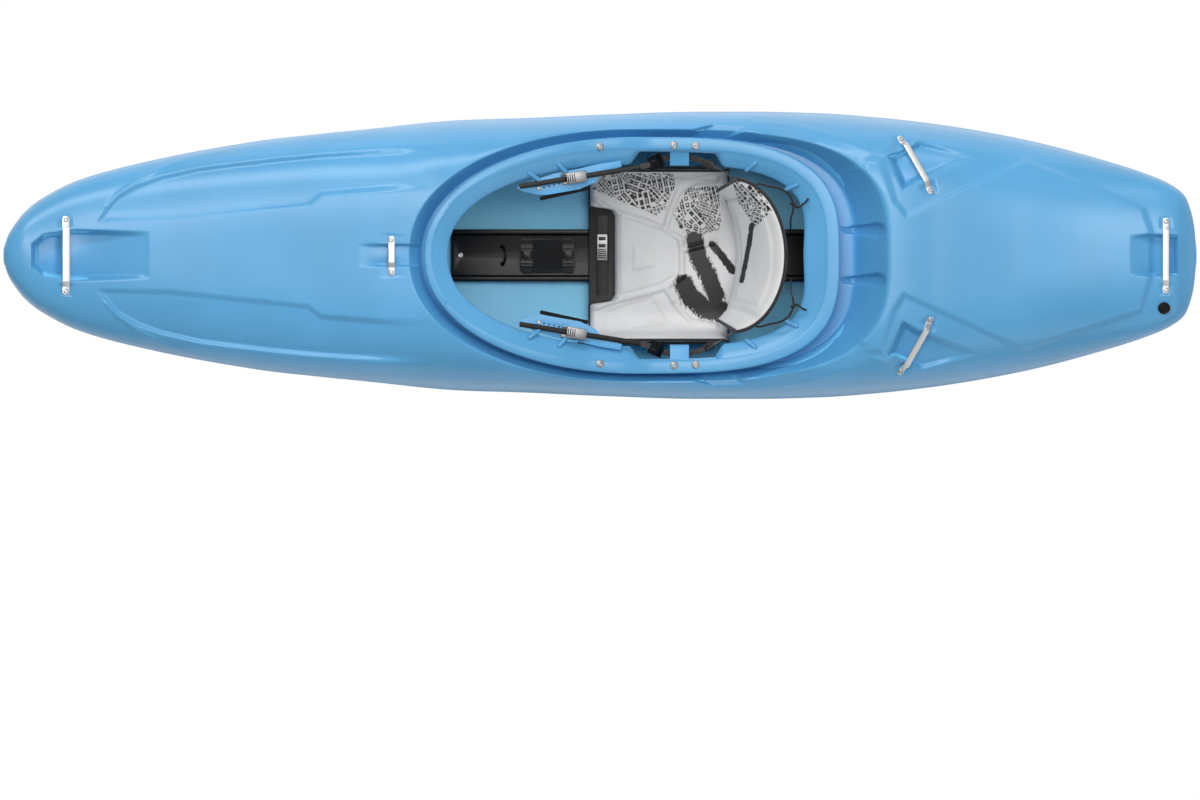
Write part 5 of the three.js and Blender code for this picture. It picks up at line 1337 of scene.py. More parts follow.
def build_hull(colour):
    """The moulded hull: outer deck, outer bilge and the inner skin seen through the cockpit, whose
    plastic is a brightened copy of the hull's with painted light.
    """
    material = moulded_plastic("hull_plastic", colour, HULL_ROUGHNESS)
    # The inner skin's colour is the hull colour brightened: painted light inside the cockpit
    paler = tinted(colour, INSIDE_PAINTED_LIGHT_GAIN, INSIDE_PAINTED_LIGHT_LIFT)[:3]
    inside = moulded_plastic("hull_inner_plastic", paler, HULL_ROUGHNESS * 1.5)
    skins = list(zip(("hull_deck", "hull_cockpit", "hull_bottom"),
                     hull_sheets(0.0, HULL_STEP, HULL_STEP, BILGE_COLUMNS)))
    skins.append(("hull_inside", joined(*hull_sheets(WALL, INNER_STEP, INNER_STEP, INNER_COLUMNS))))
    for name, shape in skins:
        skin = inside if name == "hull_inside" else material
        piece = make_piece(name, shape, "boat", "hull_blue", angle=50, material=skin)
        weld(piece, HULL_DOUBLES)
        close_ends(piece)
        if name == "hull_inside":
            piece.data.flip_normals()
        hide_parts("hull_shell")
    build_tips(material)
    build_rim_ribs(material)


def close_ends(piece):
    """Fills the small open ends of the bow and stern."""
    limit = HULL_LENGTH / 2 - 3 * WALL
    with edited(piece.data) as work:
        rim = [e for e in work.edges if e.is_boundary and all(abs(v.co.x) > limit for v in e.verts)]
        if rim:
            bmesh.ops.holes_fill(work, edges=rim, sides=0)


def build_rim_ribs(material):
    """Eight short ribs on the inner slope of the rim: capsules laid along it."""
    ends = np.sqrt(np.clip(1 - np.abs(np.linspace(-1, 1, RIB_STEPS)) ** 6, 0.02, 1))
    shapes = []
    for x, y in RIM_RIBS:
        slope = math.atan2(y, x - COCKPIT_AFT)
        inward = -np.array([math.cos(slope), math.sin(slope), 0])
        start = np.array([x, y, float(rim_level(x)) - RIB_DROP]) - inward * RIB_BACK
        run = inward * RIB_RUN - (0, 0, RIB_FALL)
        line = start + np.linspace(0, 1, RIB_STEPS)[:, None] * run
        rib = swept(line, circle(RIB_RADIUS, 14), np.cross(run, (0, 0, 1)), ends)[:2]
        shapes += [across_keel(rib, side) for _, side in SIDES]
    make_piece("rim_ribs", joined(*shapes), "boat", "hull_blue", angle=60, material=material, sealed=True)


def deck_seat(along, across):
    """A point on the plain deck from its shares."""
    x = (along - 0.5) * HULL_LENGTH
    y = across * float(hull_lines(x)[0])
    return np.array([x, y, float(crown_height(x, y))])


def deck_normal(x, y):
    """The plain deck's upward normal from central differences."""
    step = HULL_BEAM / 100
    slope_x = (crown_height(x + step, y) - crown_height(x - step, y)) / (2 * step)
    slope_y = (crown_height(x, y + step) - crown_height(x, y - step)) / (2 * step)
    return np.array([-float(slope_x), -float(slope_y), 1.0])


def bar_seat(name):
    """A deck bar's frame, with X along the bar, and its length."""
    start, end = (deck_seat(*share) for share in BARS[name][:2])
    along = end - start
    length = np.linalg.norm(along)
    middle = (start + end) / 2
    up = deck_normal(middle[0], middle[1])
    up -= along * (up @ along) / length ** 2
    up /= np.linalg.norm(up)
    return axes_at(middle - up * LAND_DEPTH, up, along), length


def land_height(x, y):
    """Height of the flat lands under the bars' feet, with sloping sides; infinite elsewhere."""
    level = np.full(np.shape(x), np.inf)
    for name, (_, _, width, _) in BARS.items():
        (origin, axes), length = bar_seat(name)
        if name not in ("bow_grab_bar", "front_deck_bar", "stern_grab_bar"):
            width = width + LAND_MARGIN
        up = axes[2]
        dx, dy = x - origin[0], y - origin[1]
        plane = origin[2] - (up[0] * dx + up[1] * dy) / up[2]
        dz = plane - origin[2]
        along = dx * axes[0][0] + dy * axes[0][1] + dz * axes[0][2]
        off = dx * axes[1][0] + dy * axes[1][1] + dz * axes[1][2]
        beyond = np.maximum(np.abs(np.abs(along) - (length - BAR_FOOT) / 2) - BAR_FOOT / 2 - LAND_MARGIN,
                            np.abs(off) - width / 2 - LAND_MARGIN)
        here = np.where(beyond < LAND_REACH, plane + np.maximum(beyond, 0), np.inf)
        level = np.minimum(level, here)
    return level


def screw_piece(node, shape):
    """A screw's head, which stands for its solid."""
    make_piece(f"{node}_head", shape, "boat", "screw_steel", (node,), 35)


def build_deck_bars():
    """The five grab bars: a rounded strip carried along two flat feet, two smooth bends and a
    raised middle, with its ends rounded in plan; and the two screws of each."""
    for name, (_, _, width, rise) in BARS.items():
        seat, length = bar_seat(name)
        half, base = length / 2, GAP + BAR_THICKNESS / 2
        x = np.linspace(BAR_END_INSET - half, half - BAR_END_INSET, 90)
        climb = smooth_step(half - BAR_FOOT, half - BAR_FOOT - BAR_BEND, np.abs(x))
        line = np.column_stack([x, np.zeros_like(x), base + rise * climb])
        reach = np.clip((half - np.abs(x)) / (width / 2), 0, 1)
        wide = np.sqrt(1 - (1 - reach) ** 2) * (1 - BAR_TIP_SHARE) + BAR_TIP_SHARE
        profile = rounded_strip(width, BAR_THICKNESS * BAR_STRIP_SHARE, 4)
        points, faces, _ = swept(line, profile, (0, 1, 0))
        points[:, 1] *= np.repeat(wide, len(profile))
        make_piece(f"{name}_strip", seated((points, faces), seat), "boat", "bar_alloy", (name,))
        for number, side in enumerate((-1, 1), 1):
            spot = (side * (half - BAR_FOOT / 2), 0, BAR_THICKNESS + GAP)
            screw_piece(f"{name}_screw_{number}", screw_shape(moved(seat, spot)))


def screw_shape(seat, radius=SCREW_RADIUS, height=SCREW_HEIGHT, shank=SCREW_SHANK):
    """A pan-head screw with a six-sided recess: rings round its axis whose radius passes from
    a circle at the rim to a hexagon in the recess."""
    angle = np.linspace(0, 2 * math.pi, 36, endpoint=False)
    half_side = math.pi / 6
    hexagon = math.cos(half_side) / np.cos((angle + half_side) % (2 * half_side) - half_side)
    return seated(headed_pin(SCREW_RINGS, radius, (GAP - shank, GAP, height), hexagon), seat)


def cup_profile(radius, height):
    """Profile of a cup washer: a rounded outer lip and a hollow that takes the screw's head."""
    shares = [(0.45, 0.1), (0.96, 0.1), (1.0, 0.25), (0.98, 0.5), (0.90, 0.82), (0.80, 1.0),
              (0.72, 0.98), (0.64, 0.72), (0.58, 0.45), (0.45, 0.4), (0.45, 0.1)]
    return [(radius * r, height * h) for r, h in shares]


def rim_level(x):
    """Height of the rim at a place along the boat."""
    return HULL_HEIGHT * RIM_LINE(np.asarray(x) / HULL_LENGTH + 0.5)


def build_rim_screws():
    """The screws on the rim, the side bolts and the bolt at the front of the floor spine."""
    front, rear, half, front_power, rear_power = RIM_OVAL
    washer = lathe(cup_profile(*CUP_WASHER), 40)
    aft = SIDE_POCKET["aft"]
    for word, side in SIDES:
        for number, x in enumerate(RIM_SCREWS, 1):
            slope = (rim_level(x + SCREW_RADIUS) - rim_level(x - SCREW_RADIUS)) / (2 * SCREW_RADIUS)
            reach, power = (rear, rear_power) if x >= COCKPIT_AFT else (front, front_power)
            across = (1 - (abs(x - COCKPIT_AFT) / (reach - RIM_SCREW_INSET)) ** power) ** (1 / power)
            y = side * (half - RIM_SCREW_INSET) * across
            seat = axes_at((x, y, float(rim_level(x)) - LAND_DEPTH / 2), (-float(slope), 0, 1))
            head = screw_shape(moved(seat, (0, 0, CUP_WASHER[1] / 2)), SCREW_RADIUS * RIM_SCREW_SHARE)
            screw_piece(f"rim_screw_{word}_{number}", joined(head, seated(washer, seat)))
        y = side * (float(hull_lines(aft)[0]) - SIDE_POCKET["depth"] - LAND_DEPTH / 2)
        seat = axes_at((aft, y, SIDE_POCKET["height"]), (0, side, 0))
        screw_piece(f"side_bolt_{word}", screw_shape(seat, shank=SIDE_BOLT_SHANK))
    seat = axes_at((TRACK_BOLT_AFT, 0, TRACK_CHANNEL), (0, 0, 1))
    screw_piece("track_bolt", screw_shape(seat, *TRACK_BOLT))


def build_drain_plug():
    """The screw-in drain plug: a lobed disc with a raised grip and a coin slot, on its seal."""
    x, y, z = deck_seat(*DRAIN_PLACE_SHARE)
    seat = axes_at((x, y, z), deck_normal(x, y))
    radius, height = DRAIN_HEAD
    base = 2 * GAP + SEAL_THICKNESS - LAND_DEPTH
    depth, number = PLUG_LOBES
    angle = np.linspace(0, 2 * math.pi, 96, endpoint=False)
    lobes = 1 - depth * (0.5 + 0.5 * np.cos(number * angle)) ** 2
    parts = [headed_pin(PLUG_RINGS, radius, (-PLUG_SHANK, base, height), lobes)]
    (inner_half, inner_side), (outer_half, outer_side) = PLUG_GRIP
    low, high = (base + height * share for share in PLUG_GRIP_HEIGHTS)
    for side in (-1, 1):
        corners = [(-inner_half, side * inner_side), (inner_half, side * inner_side),
                   (outer_half, side * outer_side), (-outer_half, side * outer_side)]
        parts.append(slab(rounded_outline(corners, PLUG_GRIP_CORNER), low, high, PLUG_GRIP_EDGE))
    plug = seated(joined(*parts), seat)
    make_piece("drain_plug_disc", plug, "drain_plug", "black_plastic", ("drain_plug",))
    inner, outer, swell = SEAL_RADII
    low, high = GAP - LAND_DEPTH, base - GAP
    points, faces = lathe([(inner, low), (outer, low), (swell, SEAL_SWELL - LAND_DEPTH), (outer, high),
                           (inner, high), (inner, low)], 40)
    ring = seated((points, faces[:-2]), seat)
    make_piece("drain_seal_ring", ring, "drain_seal", "black_rubber", ("drain_seal",))


def softened(node, body, material=None):
    """A copy of a solid's own shape with its edges rounded: doubles merged, flat faces joined
    and each sharp edge bevelled."""
    word, slot, radius, steps = next(row for kind, row in SOFTENED.items() if kind in node)
    name = f"{node}_{word}"
    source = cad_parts[node]
    mesh = source.data.copy()
    mesh.name = name
    mesh.materials.clear()
    mesh.transform(source.matrix_world)
    piece = linked(name, mesh)
    with edited(mesh) as work:
        bmesh.ops.remove_doubles(work, verts=work.verts, dist=DOUBLES)
        bmesh.ops.dissolve_limit(work, angle_limit=FLAT_ANGLE, verts=work.verts, edges=work.edges)
        sharp = [e for e in work.edges if len(e.link_faces) == 2 and e.calc_face_angle(0) > FOLD_ANGLE]
        bmesh.ops.bevel(work, geom=sharp, offset=radius, offset_type="OFFSET", segments=steps, profile=0.5,
                        affect="EDGES", clamp_overlap=True)
        bmesh.ops.triangulate(work, faces=[f for f in work.faces if len(f.verts) > 4])
    dress(piece, body, slot, (node,), 40, material)
    return piece


def cover_section(girth):
    """A place on the pan's inner section at a distance from the keel line, and the direction
    in from it: flat floor, quarter circle, upright side."""
    side, away = np.sign(girth), np.abs(girth)
    turn = np.clip((away - PAN_CORNER) / PAN_ARC, 0, math.pi / 2)
    rise = np.maximum(away - PAN_CORNER - PAN_ARC * math.pi / 2, 0)
    y = np.minimum(away, PAN_CORNER) + PAN_ARC * np.sin(turn)
    z = PAN_FLOOR + PAN_ARC * (1 - np.cos(turn)) + rise
    return side * y, z, -side * np.sin(turn), np.cos(turn)


def cover_relief(x, y, ridge):
    """Height of the cover's moulding in plan: rounded ridges, the grooves beside them, and
    panels that stand up or sink."""
    height = np.zeros(np.shape(x))
    for points, half in COVER_RIDGES:
        away = line_reach(x, y, points) / half
        height = np.maximum(height, ridge * (1 - smooth_step(0.25, 1.15, away)))
        height = height - ridge * 0.35 * np.exp(-((away - 1.45) / 0.35) ** 2)
    for corners, rise in COVER_PANELS:
        height = height + rise * smooth_step(-PANEL_EDGE, PANEL_EDGE, polygon_distance(x, y, corners))
    return height


def zone_attribute(piece, name, values):
    """Stores a share for each vertex."""
    layer = piece.data.attributes.new(name, "FLOAT", "POINT")
    layer.data.foreach_set("value", np.asarray(values, np.float32))


def closed_pad(outer, inner):
    """Two grids of points as the skins of a closed pad, with a wall round their border."""
    rows, columns = outer.shape[:2]
    count = rows * columns
    border = border_ring(rows, columns)
    after = np.roll(border, -1)
    faces = grid_faces(rows, columns)
    walls = np.column_stack([border, border + count, after + count, after])
    points = np.vstack([outer.reshape(-1, 3), inner.reshape(-1, 3)])
    return points, np.vstack([faces, faces[:, ::-1] + count, walls]).tolist()


def make_cover(name, body, skins, replaced, zones, smears_and_shadows):
    """A padded, printed cover from the grids of its two skins."""
    piece = make_piece(name, closed_pad(*skins), body, "white_cover", replaced, 60)
    weld(piece, DOUBLES, outwards=True)
    mark_prints(piece, zones, smears_and_shadows)


def bind_edge(name, body, grid, radius, across, count):
    """A round binding along the border of a grid of points."""
    edge = grid.reshape(-1, 3)[border_ring(*grid.shape[:2])]
    line = spline(np.vstack([edge[::4], edge[:1]]), count)
    make_piece(name, swept(line, circle(radius, 10), across), body, "black_fabric", angle=80)


def build_seat_cover(ridge):
    """The seat's moulded cover over its base and both hip pads, one soft skin: a grid over the
    pan's section and the boat's length, raised from the pan by its thickness and relief."""
    girth = np.linspace(-COVER_THICKNESS[-1, 0], COVER_THICKNESS[-1, 0], COVER_GRID[1])
    away = np.abs(girth)
    corner = np.clip((away - COVER_RECESS_HALF) / COVER_RECESS_ROUND + 1, 0, 1)
    recess = COVER_RECESS_FRONT - COVER_RECESS_ROUND * (1 - np.sqrt(1 - corner ** 2))
    front = COVER_FRONT + (recess - COVER_FRONT) * smooth_step(
        COVER_RECESS_HALF + COVER_RECESS_WALL, COVER_RECESS_HALF - COVER_RECESS_WALL, away)
    rear = COVER_REAR + (COVER_LIP_REAR - COVER_REAR) * smooth_step(
        COVER_LIP_HALF + COVER_LIP_RUNS[0], COVER_LIP_HALF - COVER_LIP_RUNS[1], away)
    x = front + (rear - front) * np.linspace(0, 1, COVER_GRID[0])[:, None]
    y, z, ny, nz = cover_section(girth)
    thick = smooth_curve(COVER_THICKNESS, 1)(away)
    to_end = np.minimum((x - front) / COVER_END_RUNS[0], (rear - x) / COVER_END_RUNS[1])
    ends = np.sqrt(1 - (1 - np.clip(to_end, 0.03, 1)) ** 2)
    fade = smooth_step(0.0, COVER_FADE, np.minimum(x - front, rear - x))
    fade = fade * smooth_step(*COVER_SIDE_FADE, away)
    relief = cover_relief(x, y + ny * thick + 0 * x, ridge) * fade
    lift = COVER_LEAST + (thick - COVER_LEAST) * ends + relief
    hang = smooth_step(COVER_LIFT_FROM, COVER_LIP_REAR, x) * COVER_LIFT * np.cos(
        np.clip(away / COVER_LIP_HALF, 0, 1) * math.pi / 2)
    top = np.stack([x, y + ny * lift, z + nz * lift + hang], -1)
    under = np.stack([x, y + ny * COVER_UNDER + 0 * x, z + nz * COVER_UNDER + hang * COVER_UNDER_LIFT], -1)
    make_cover("seat_cover", "boat", (top, under), ("seat_pad", "hip_pad_starboard", "hip_pad_port"),
               PRINT_ZONES, SMEARS)
    bind_edge("seat_cover_binding", "boat", top, BINDING_RADIUS, (0.01, 0.02, 1), BINDING_STEPS[0])


def border_ring(rows, columns):
    """Numbers of a grid's border points in order round it."""
    first = np.arange(columns)
    right = np.arange(1, rows) * columns + columns - 1
    last = (rows - 1) * columns + np.arange(columns - 2, -1, -1)
    left = np.arange(rows - 2, 0, -1) * columns
    return np.concatenate([first, right, last, left])


def mark_prints(piece, zones, smears_and_shadows):
    """Stores where the cover is printed, where it is brushed and where shadow is painted on it,
    from each vertex's plan place.
    """
    x, y, _ = points_of(piece).T
    printed, brushed = np.zeros(len(x)), np.zeros(len(x))
    for zone in zones:
        inside = polygon_distance(x, y, zone)
        printed = np.maximum(printed, smooth_step(-PRINT_SOFTNESS, PRINT_SOFTNESS, inside))
    # One mask holds the brush marks and the backband's painted shadow stripe
    for line, half in smears_and_shadows:
        brushed = np.maximum(brushed, smooth_step(half * 1.6, half * 0.35, line_reach(x, y, line)))
    zone_attribute(piece, "print", printed)
    zone_attribute(piece, "smear", brushed)


def backband_face(u, v):
    """The backband's back face: an arc round the paddler's back, leaning aft as it rises."""
    b = BACKBAND
    angle = b["sweep"] * (2 * u - 1)
    bend = (2 * u - 1) ** 2
    low, top = b["low"], b["top"]
    x = (low[0] + low[1] * np.cos(angle)) * (1 - v) + (top[0] + top[1] * np.cos(angle)) * v
    y = (low[2] * (1 - v) + top[2] * v) * np.sin(angle)
    bottom, lift, height, sag = b["heights"]
    z = (bottom + lift * bend) * (1 - v) + (height - sag * bend) * v
    return np.stack([x + 0 * y, y, z + 0 * y], -1), angle


def build_backband():
    """The padded backband: its back face and a crowned front, closed round the edge, with a
    bound edge and a raised middle panel."""
    u, v = np.meshgrid(*(np.linspace(0, 1, count) for count in BACK_GRID), indexing="ij")
    back, angle = backband_face(u, v)
    b = BACKBAND
    away = np.abs(2 * u - 1)
    inside = np.clip(1 - away ** 6, 0, 1) * np.clip(1 - np.abs(2 * v - 1) ** 3, 0, 1)
    panel = np.maximum(away / BACK_PANEL[0], np.abs(2 * v - BACK_PANEL[2]) / BACK_PANEL[1])
    groove = np.exp(-((away - BACK_GROOVE_PLACE[0]) / BACK_GROOVE_PLACE[1]) ** 2)
    height = b["edge"] + (b["rise"] - b["edge"]) * np.sqrt(inside)
    height = height + BACK_PANEL_RISE * smooth_step(1.06, 0.94, panel)
    height = height - BACK_GROOVE * groove * np.sqrt(inside)
    push = np.stack([-np.cos(angle) * b["forward"], -np.sin(angle), np.cos(angle) * b["lean"]], -1)
    face = back + push * height[..., None]
    # The backband's dark stripe is painted shadow of its fold, laid on through the brush marks' mask
    make_cover("backband_cover", "backband", (face, back), ("backband",), [BACK_PRINT_ZONE], BACK_PAINTED_SHADOW)
    bind_edge("backband_binding", "backband", (face + back) / 2, BACK_BINDING_RADIUS, (0.3, 0.1, 1),
              BINDING_STEPS[1])


def build_ladder_straps():
    """Toothed straps: a flat strip carried along a straight line, with a row of cross teeth."""
    width, thickness = STRAP_SIZE
    start, end = (np.array(place) for place in STRAP_ENDS)
    run = end - start
    line = start + run * np.linspace(0, 1, 24)[:, None]
    parts = [swept(line, rounded_strip(width, thickness * STRAP_BASE_SHARE, 2), (0, 1, 0))]
    seat = axes_at(start, np.cross(np.cross(run, (0, 0, 1)), run), run)
    half = width / 2 - TOOTH_MARGIN
    for place in np.arange(TOOTH_PITCH, np.linalg.norm(run) - TOOTH_PITCH, TOOTH_PITCH):
        tooth = [(place + x, y, z) for y in (-half, half) for x, z in TOOTH_SECTION]
        parts.append(seated((tooth, closed_tube(2, len(TOOTH_SECTION))), seat))
    for word, side in SIDES:
        name = f"ladder_strap_{word}"
        make_piece(f"{name}_teeth", across_keel(joined(*parts), side), name, "black_plastic", (name,), 35,
                   sealed=True)


def build_webbing():
    """Woven webbing from each toothed strap, through its sliders and back to the backband: a
    flat strip that turns from lying to standing along its route."""
    route, step = np.array(WEBBING_ROUTE), 0.01
    ends, ups = [], []
    for u, v in WEBBING_END_SHARES:
        at, along, up = (backband_face(np.array(a), np.array(b))[0]
                         for a, b in ((u, v), (u + step, v), (u, v + step)))
        up = (up - at) / np.linalg.norm(up - at)
        away = np.cross(along - at, up)
        ends.append(at + away / np.linalg.norm(away) * (GAP + WEBBING_SIZE[1] / 2))
        ups.append(up)
    first, last = WEBBING_TURN
    turn = np.clip((np.arange(len(route)) - first) / (last - first), 0, 1) * math.pi / 2
    across = np.vstack([np.column_stack([0 * turn, np.cos(turn), np.sin(turn)]), ups])
    both = spline(np.hstack([np.vstack([route, ends]), across * WEBBING_TURN_LENGTH]), 150)
    strap = swept(both[:, :3], rounded_strip(*WEBBING_SIZE, 2), both[:, 3:])
    for word, side in SIDES:
        node = f"backband_webbing_{word}"
        make_piece(f"{node}_strap", across_keel(strap, side), "backband", "grey_webbing", (node,), 50,
                   sealed=True)
        for label, share, *size in SLIDERS:
            before, middle, after = (
                np.array([np.interp(at, np.arange(len(route)), column) for column in route.T])
                for at in (share - 0.5, share, share + 0.5))
            run = after - before
            seat = axes_at(middle + (0, 0, SLIDER_LIFT), np.cross(run, np.cross((0, 0, 1), run)), run)
            slider = across_keel(seated(slider_shape(*size), seat), side)
            make_piece(f"{label}_slider_{word}", slider, "backband", "black_plastic", sealed=True)


def slider_shape(length, width, thickness):
    """A slide buckle: a plate with two long sides and three cross bars, all with round edges."""
    inner = width - 2 * SLIDER_INSET
    boxes = [("plate", (0, 0), (length - 2 * SLIDER_INSET, inner))]
    boxes += [("rail", (0, side * (width / 2 - SLIDER_RAIL)), (length, 2 * SLIDER_RAIL)) for side in (-1, 1)]
    boxes += [("bar", (side * (length / 2 - SLIDER_BAR), 0), (2 * SLIDER_BAR, inner)) for side in (-1, 0, 1)]
    shapes = []
    for kind, centre, size in boxes:
        corner, edge, below, above = SLIDER_PARTS[kind]
        shapes.append(plate(centre, size, (-thickness / 2 * below, thickness / 2 * above), corner, edge))
    return joined(*shapes)


def build_cords():
    """Thin retention cords from the backband to the floor spine, with a knot where each meets
    its tied-off tail."""
    look = {"slot": "black_fabric", "angle": 80, "material": shared_finish("cord_braid"), "sealed": True}
    line = spline(np.array(CORD_ROUTE), 240)
    tube = swept(line, circle(CORD_RADIUS, 12), CORD_ACROSS)
    turn = np.linspace(0, 2 * math.pi, 120)
    reach = KNOT_RING + KNOT_WEAVE * np.cos(3 * turn)
    knot_line = np.array(KNOT_PLACE) + np.column_stack([
        reach * np.cos(2 * turn), KNOT_DEPTH * np.sin(3 * turn), reach * np.sin(2 * turn)])
    knot = swept(knot_line, circle(CORD_RADIUS * KNOT_SHARE, 8), (0.2, 1, 0.1))[:2]
    thin_end = np.clip(np.linspace(0, 12, TAIL_STEPS)[::-1] + 0.55, 0.5, 1.0)
    for word, side in SIDES:
        node = f"retention_cord_{word}"
        cord = make_piece(f"{node}_line", across_keel(tube, side), "boat", replaced=(node,), **look)
        knot_piece = make_piece(f"cord_knot_{word}", across_keel(knot, side), "boat", **look)
        tail = swept(spline(np.array(CORD_TAILS[word]), TAIL_STEPS), circle(CORD_RADIUS, 12), CORD_ACROSS,
                     thin_end)
        tail_piece = make_piece(f"cord_tail_{word}", tail, "boat", **look)


def build_braces():
    """Thigh braces with their pads, brackets, ratchets and levers, edges rounded."""
    screw = screw_shape(moved(axes_at(*BRACE_SEAT), (0, 0, BRACE_THICKNESS)), *BRACE_SCREW)
    seat = axes_at(*RATCHET_SEAT)
    end = [(0.0, PIN_HALF), (PIN_RADIUS - PIN_CHAMFER, PIN_HALF), (PIN_RADIUS, PIN_HALF - PIN_CHAMFER)]
    points, faces = lathe([(radius, -z) for radius, z in end] + end[::-1], 16)
    across, along, up = points.T
    pins = [seated((np.column_stack([across + x, up, along + PIN_HEIGHT]), faces), seat) for x in PIN_PLACES]
    ribs = [seated(plate((x, 0), LEVER_RIBS["size"], LEVER_RIBS["heights"], LEVER_RIBS["corner"],
                         LEVER_RIBS["edge"], 2), seat) for x in LEVER_RIBS["places"]]
    for word, side in SIDES:
        brace, lever = f"thigh_brace_{word}", f"ratchet_lever_{word}"
        softened(brace, brace)
        softened(f"thigh_bracket_{word}", "boat")
        pad = softened(f"thigh_pad_{word}", brace, shared_finish("black_foam"))
        place_points(pad, points_of(pad) - (0, side * PAD_SHOWS, 0))
        softened(f"strap_ratchet_{word}", brace)
        softened(lever, lever)
        make_piece(f"brace_screw_{word}", across_keel(screw, side), brace, "screw_steel", angle=35)
        make_piece(f"ratchet_pins_{word}", across_keel(joined(*pins), side), brace, "screw_steel",
                   sealed=True)
        make_piece(f"lever_ribs_{word}", across_keel(joined(*ribs), side), lever, "black_plastic",
                   sealed=True)


def build_seat_frame():
    """The seat's pan, hangers, foot rest and foam pillars: their own solids with soft edges."""
    softened("seat_pan", "boat")
    softened("seat_track", "boat")
    softened("foot_bulkhead", "foot_bulkhead")
    for word, _ in SIDES:
        softened(f"seat_hanger_{word}", "boat")
        softened(f"foot_rail_{word}", "boat", shared_finish("ratchet_metal"))
    for end in ("front", "rear"):
        pillar = softened(f"{end}_foam_pillar", "boat")
        points = points_of(pillar)
        under_deck = deck_height(points[:, 0], points[:, 1]) - WALL - PILLAR_GAP
        points[:, 2] = np.minimum(points[:, 2], under_deck)
        place_points(pillar, points)


def build_lifter():
    """The leg lifter in the recess at the front of the seat: a ribbed strap under a ratchet."""
    half, margin = LIFTER_HALF, LIFTER_RIBS["margin"]
    length, width = LIFTER_RIBS["size"]
    low, high = (PAN_FLOOR + height for height in LIFTER_RIBS["heights"])
    line = np.column_stack([np.full(20, LIFTER_AFT), np.linspace(-half, half, 20),
                            np.full(20, PAN_FLOOR + LIFTER_RISE)])
    parts = [swept(line, rounded_strip(*LIFTER_STRAP, 2), (1, 0, 0))]
    for y in np.arange(-half + margin, half - margin, LIFTER_RIBS["pitch"]):
        outline = rectangle((LIFTER_AFT, y + width / 2), (length, width))
        parts.append(slab(outline, low, high, LIFTER_RIBS["edge"], 1))
    make_piece("lifter_strap_ribs", joined(*parts), "boat", "black_plastic", ("lifter_strap",), 35,
               sealed=True)
    softened("lifter_ratchet", "boat")
    softened("lifter_lever", "lifter_lever")
    low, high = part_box("lifter_lever")
    marks = []
    for places, width, inset, corner, steps, height, edge in LEVER_MARKS:
        size = (high[0] - low[0] - 2 * inset, width)
        heights = (high[2] - MARK_SINK, high[2] + height)
        for place in places:
            centre = ((low[0] + high[0]) / 2, low[1] + place)
            marks.append(plate(centre, size, heights, corner, edge, steps))
    make_piece("lifter_lever_ribs", joined(*marks), "lifter_lever", "black_plastic", sealed=True)


def build_pouch():
    """The gear pouch strapped in the floor spine's channel: a soft rounded bag whose section
    is a superellipse that narrows and sags towards its ends, two straps with buckles over
    it and a tie loop ahead of it."""
    x = np.linspace(POUCH["from"] + POUCH_END_GAP, POUCH["to"] - POUCH_END_GAP, 70)
    around = np.linspace(0, 2 * math.pi, 72, endpoint=False)
    t = (x - x[0]) / (x[-1] - x[0])
    full = (1 - np.abs(2 * t - 1) ** 5) ** 0.35 * 0.92 + 0.08
    waist, reach = POUCH_WAIST
    tall = full * (1 - waist * sum(np.exp(-((x - aft) / reach) ** 2) for aft in POUCH_STRAPS))
    c, s = np.cos(around), np.sin(around)
    half, middle = POUCH["half"] - POUCH_GAP, POUCH["height"] / 2
    y = half * (0.9 + 0.1 * full)[:, None] * np.sign(c) * np.abs(c) ** 0.55
    pucker = POUCH_PUCKER * np.sin(9 * around) * np.sin(60 * x)[:, None] * (np.abs(s) < 0.9)
    rise = np.sign(s) * np.abs(s) ** 0.7 * (middle - POUCH_GAP)
    z = TRACK_CHANNEL + GAP + (middle + rise) * tall[:, None]
    grid = np.stack([np.repeat(x[:, None], len(around), 1), y + pucker, z], -1)
    shape = (grid.reshape(-1, 3), closed_tube(len(x), len(around)))
    bag = make_piece("gear_pouch_bag", shape, "boat", "black_fabric", ("gear_pouch",), 60,
                     shared_finish("black_cloth"), sealed=True)
    top = TRACK_CHANNEL + POUCH["height"]
    turn = np.linspace(POUCH_STRAP_TURN, math.pi - POUCH_STRAP_TURN, 40)
    strap_y = (half + POUCH_STRAP_RISE) * np.sign(np.cos(turn)) * np.abs(np.cos(turn)) ** 0.5
    foot = TRACK_CHANNEL + POUCH_STRAP_FOOT
    strap_z = foot + (top - foot) * np.sin(turn) ** 0.45
    straps, buckles = [], []
    for aft in POUCH_STRAPS:
        line = np.column_stack([np.full(len(turn), aft), strap_y, strap_z])
        straps.append(swept(line, rounded_strip(*POUCH_STRAP_SIZE, 2), (1, 0, 0)))
        for side in (-1, 1):
            seat = axes_at((aft, side * BUCKLE_SIDE, top + POUCH_STRAP_RISE), (0, 0, 1), (0, 1, 0))
            buckles.append(seated(slider_shape(*BUCKLE_SIZE), seat))
        heights = [top + height for height in TONGUE_HEIGHTS]
        buckles.append(plate((aft, 0), TONGUE_SIZE, heights, TONGUE_CORNER, TONGUE_EDGE))
    make_piece("pouch_straps", joined(*straps), "boat", "black_fabric", angle=50, sealed=True)
    turn = np.linspace(0, math.pi, 40)
    loop = np.column_stack([
        TIE_LOOP_AFT + TIE_LOOP["lean"] * np.sin(turn), TIE_LOOP["half"] * np.cos(turn),
        TRACK_CHANNEL + TIE_LOOP["start"] + TIE_LOOP["height"] * np.sin(turn) ** 0.6])
    buckles.append(swept(loop, circle(TIE_LOOP["radius"], 12), (1, 0, 0)))
    points, faces = lathe(TIE_FOOT, 20)
    buckles += [(points + (TIE_LOOP_AFT, side * TIE_LOOP["half"], TRACK_CHANNEL), faces) for side in (-1, 1)]
    make_piece("pouch_buckles", joined(*buckles), "boat", "black_plastic", sealed=True)


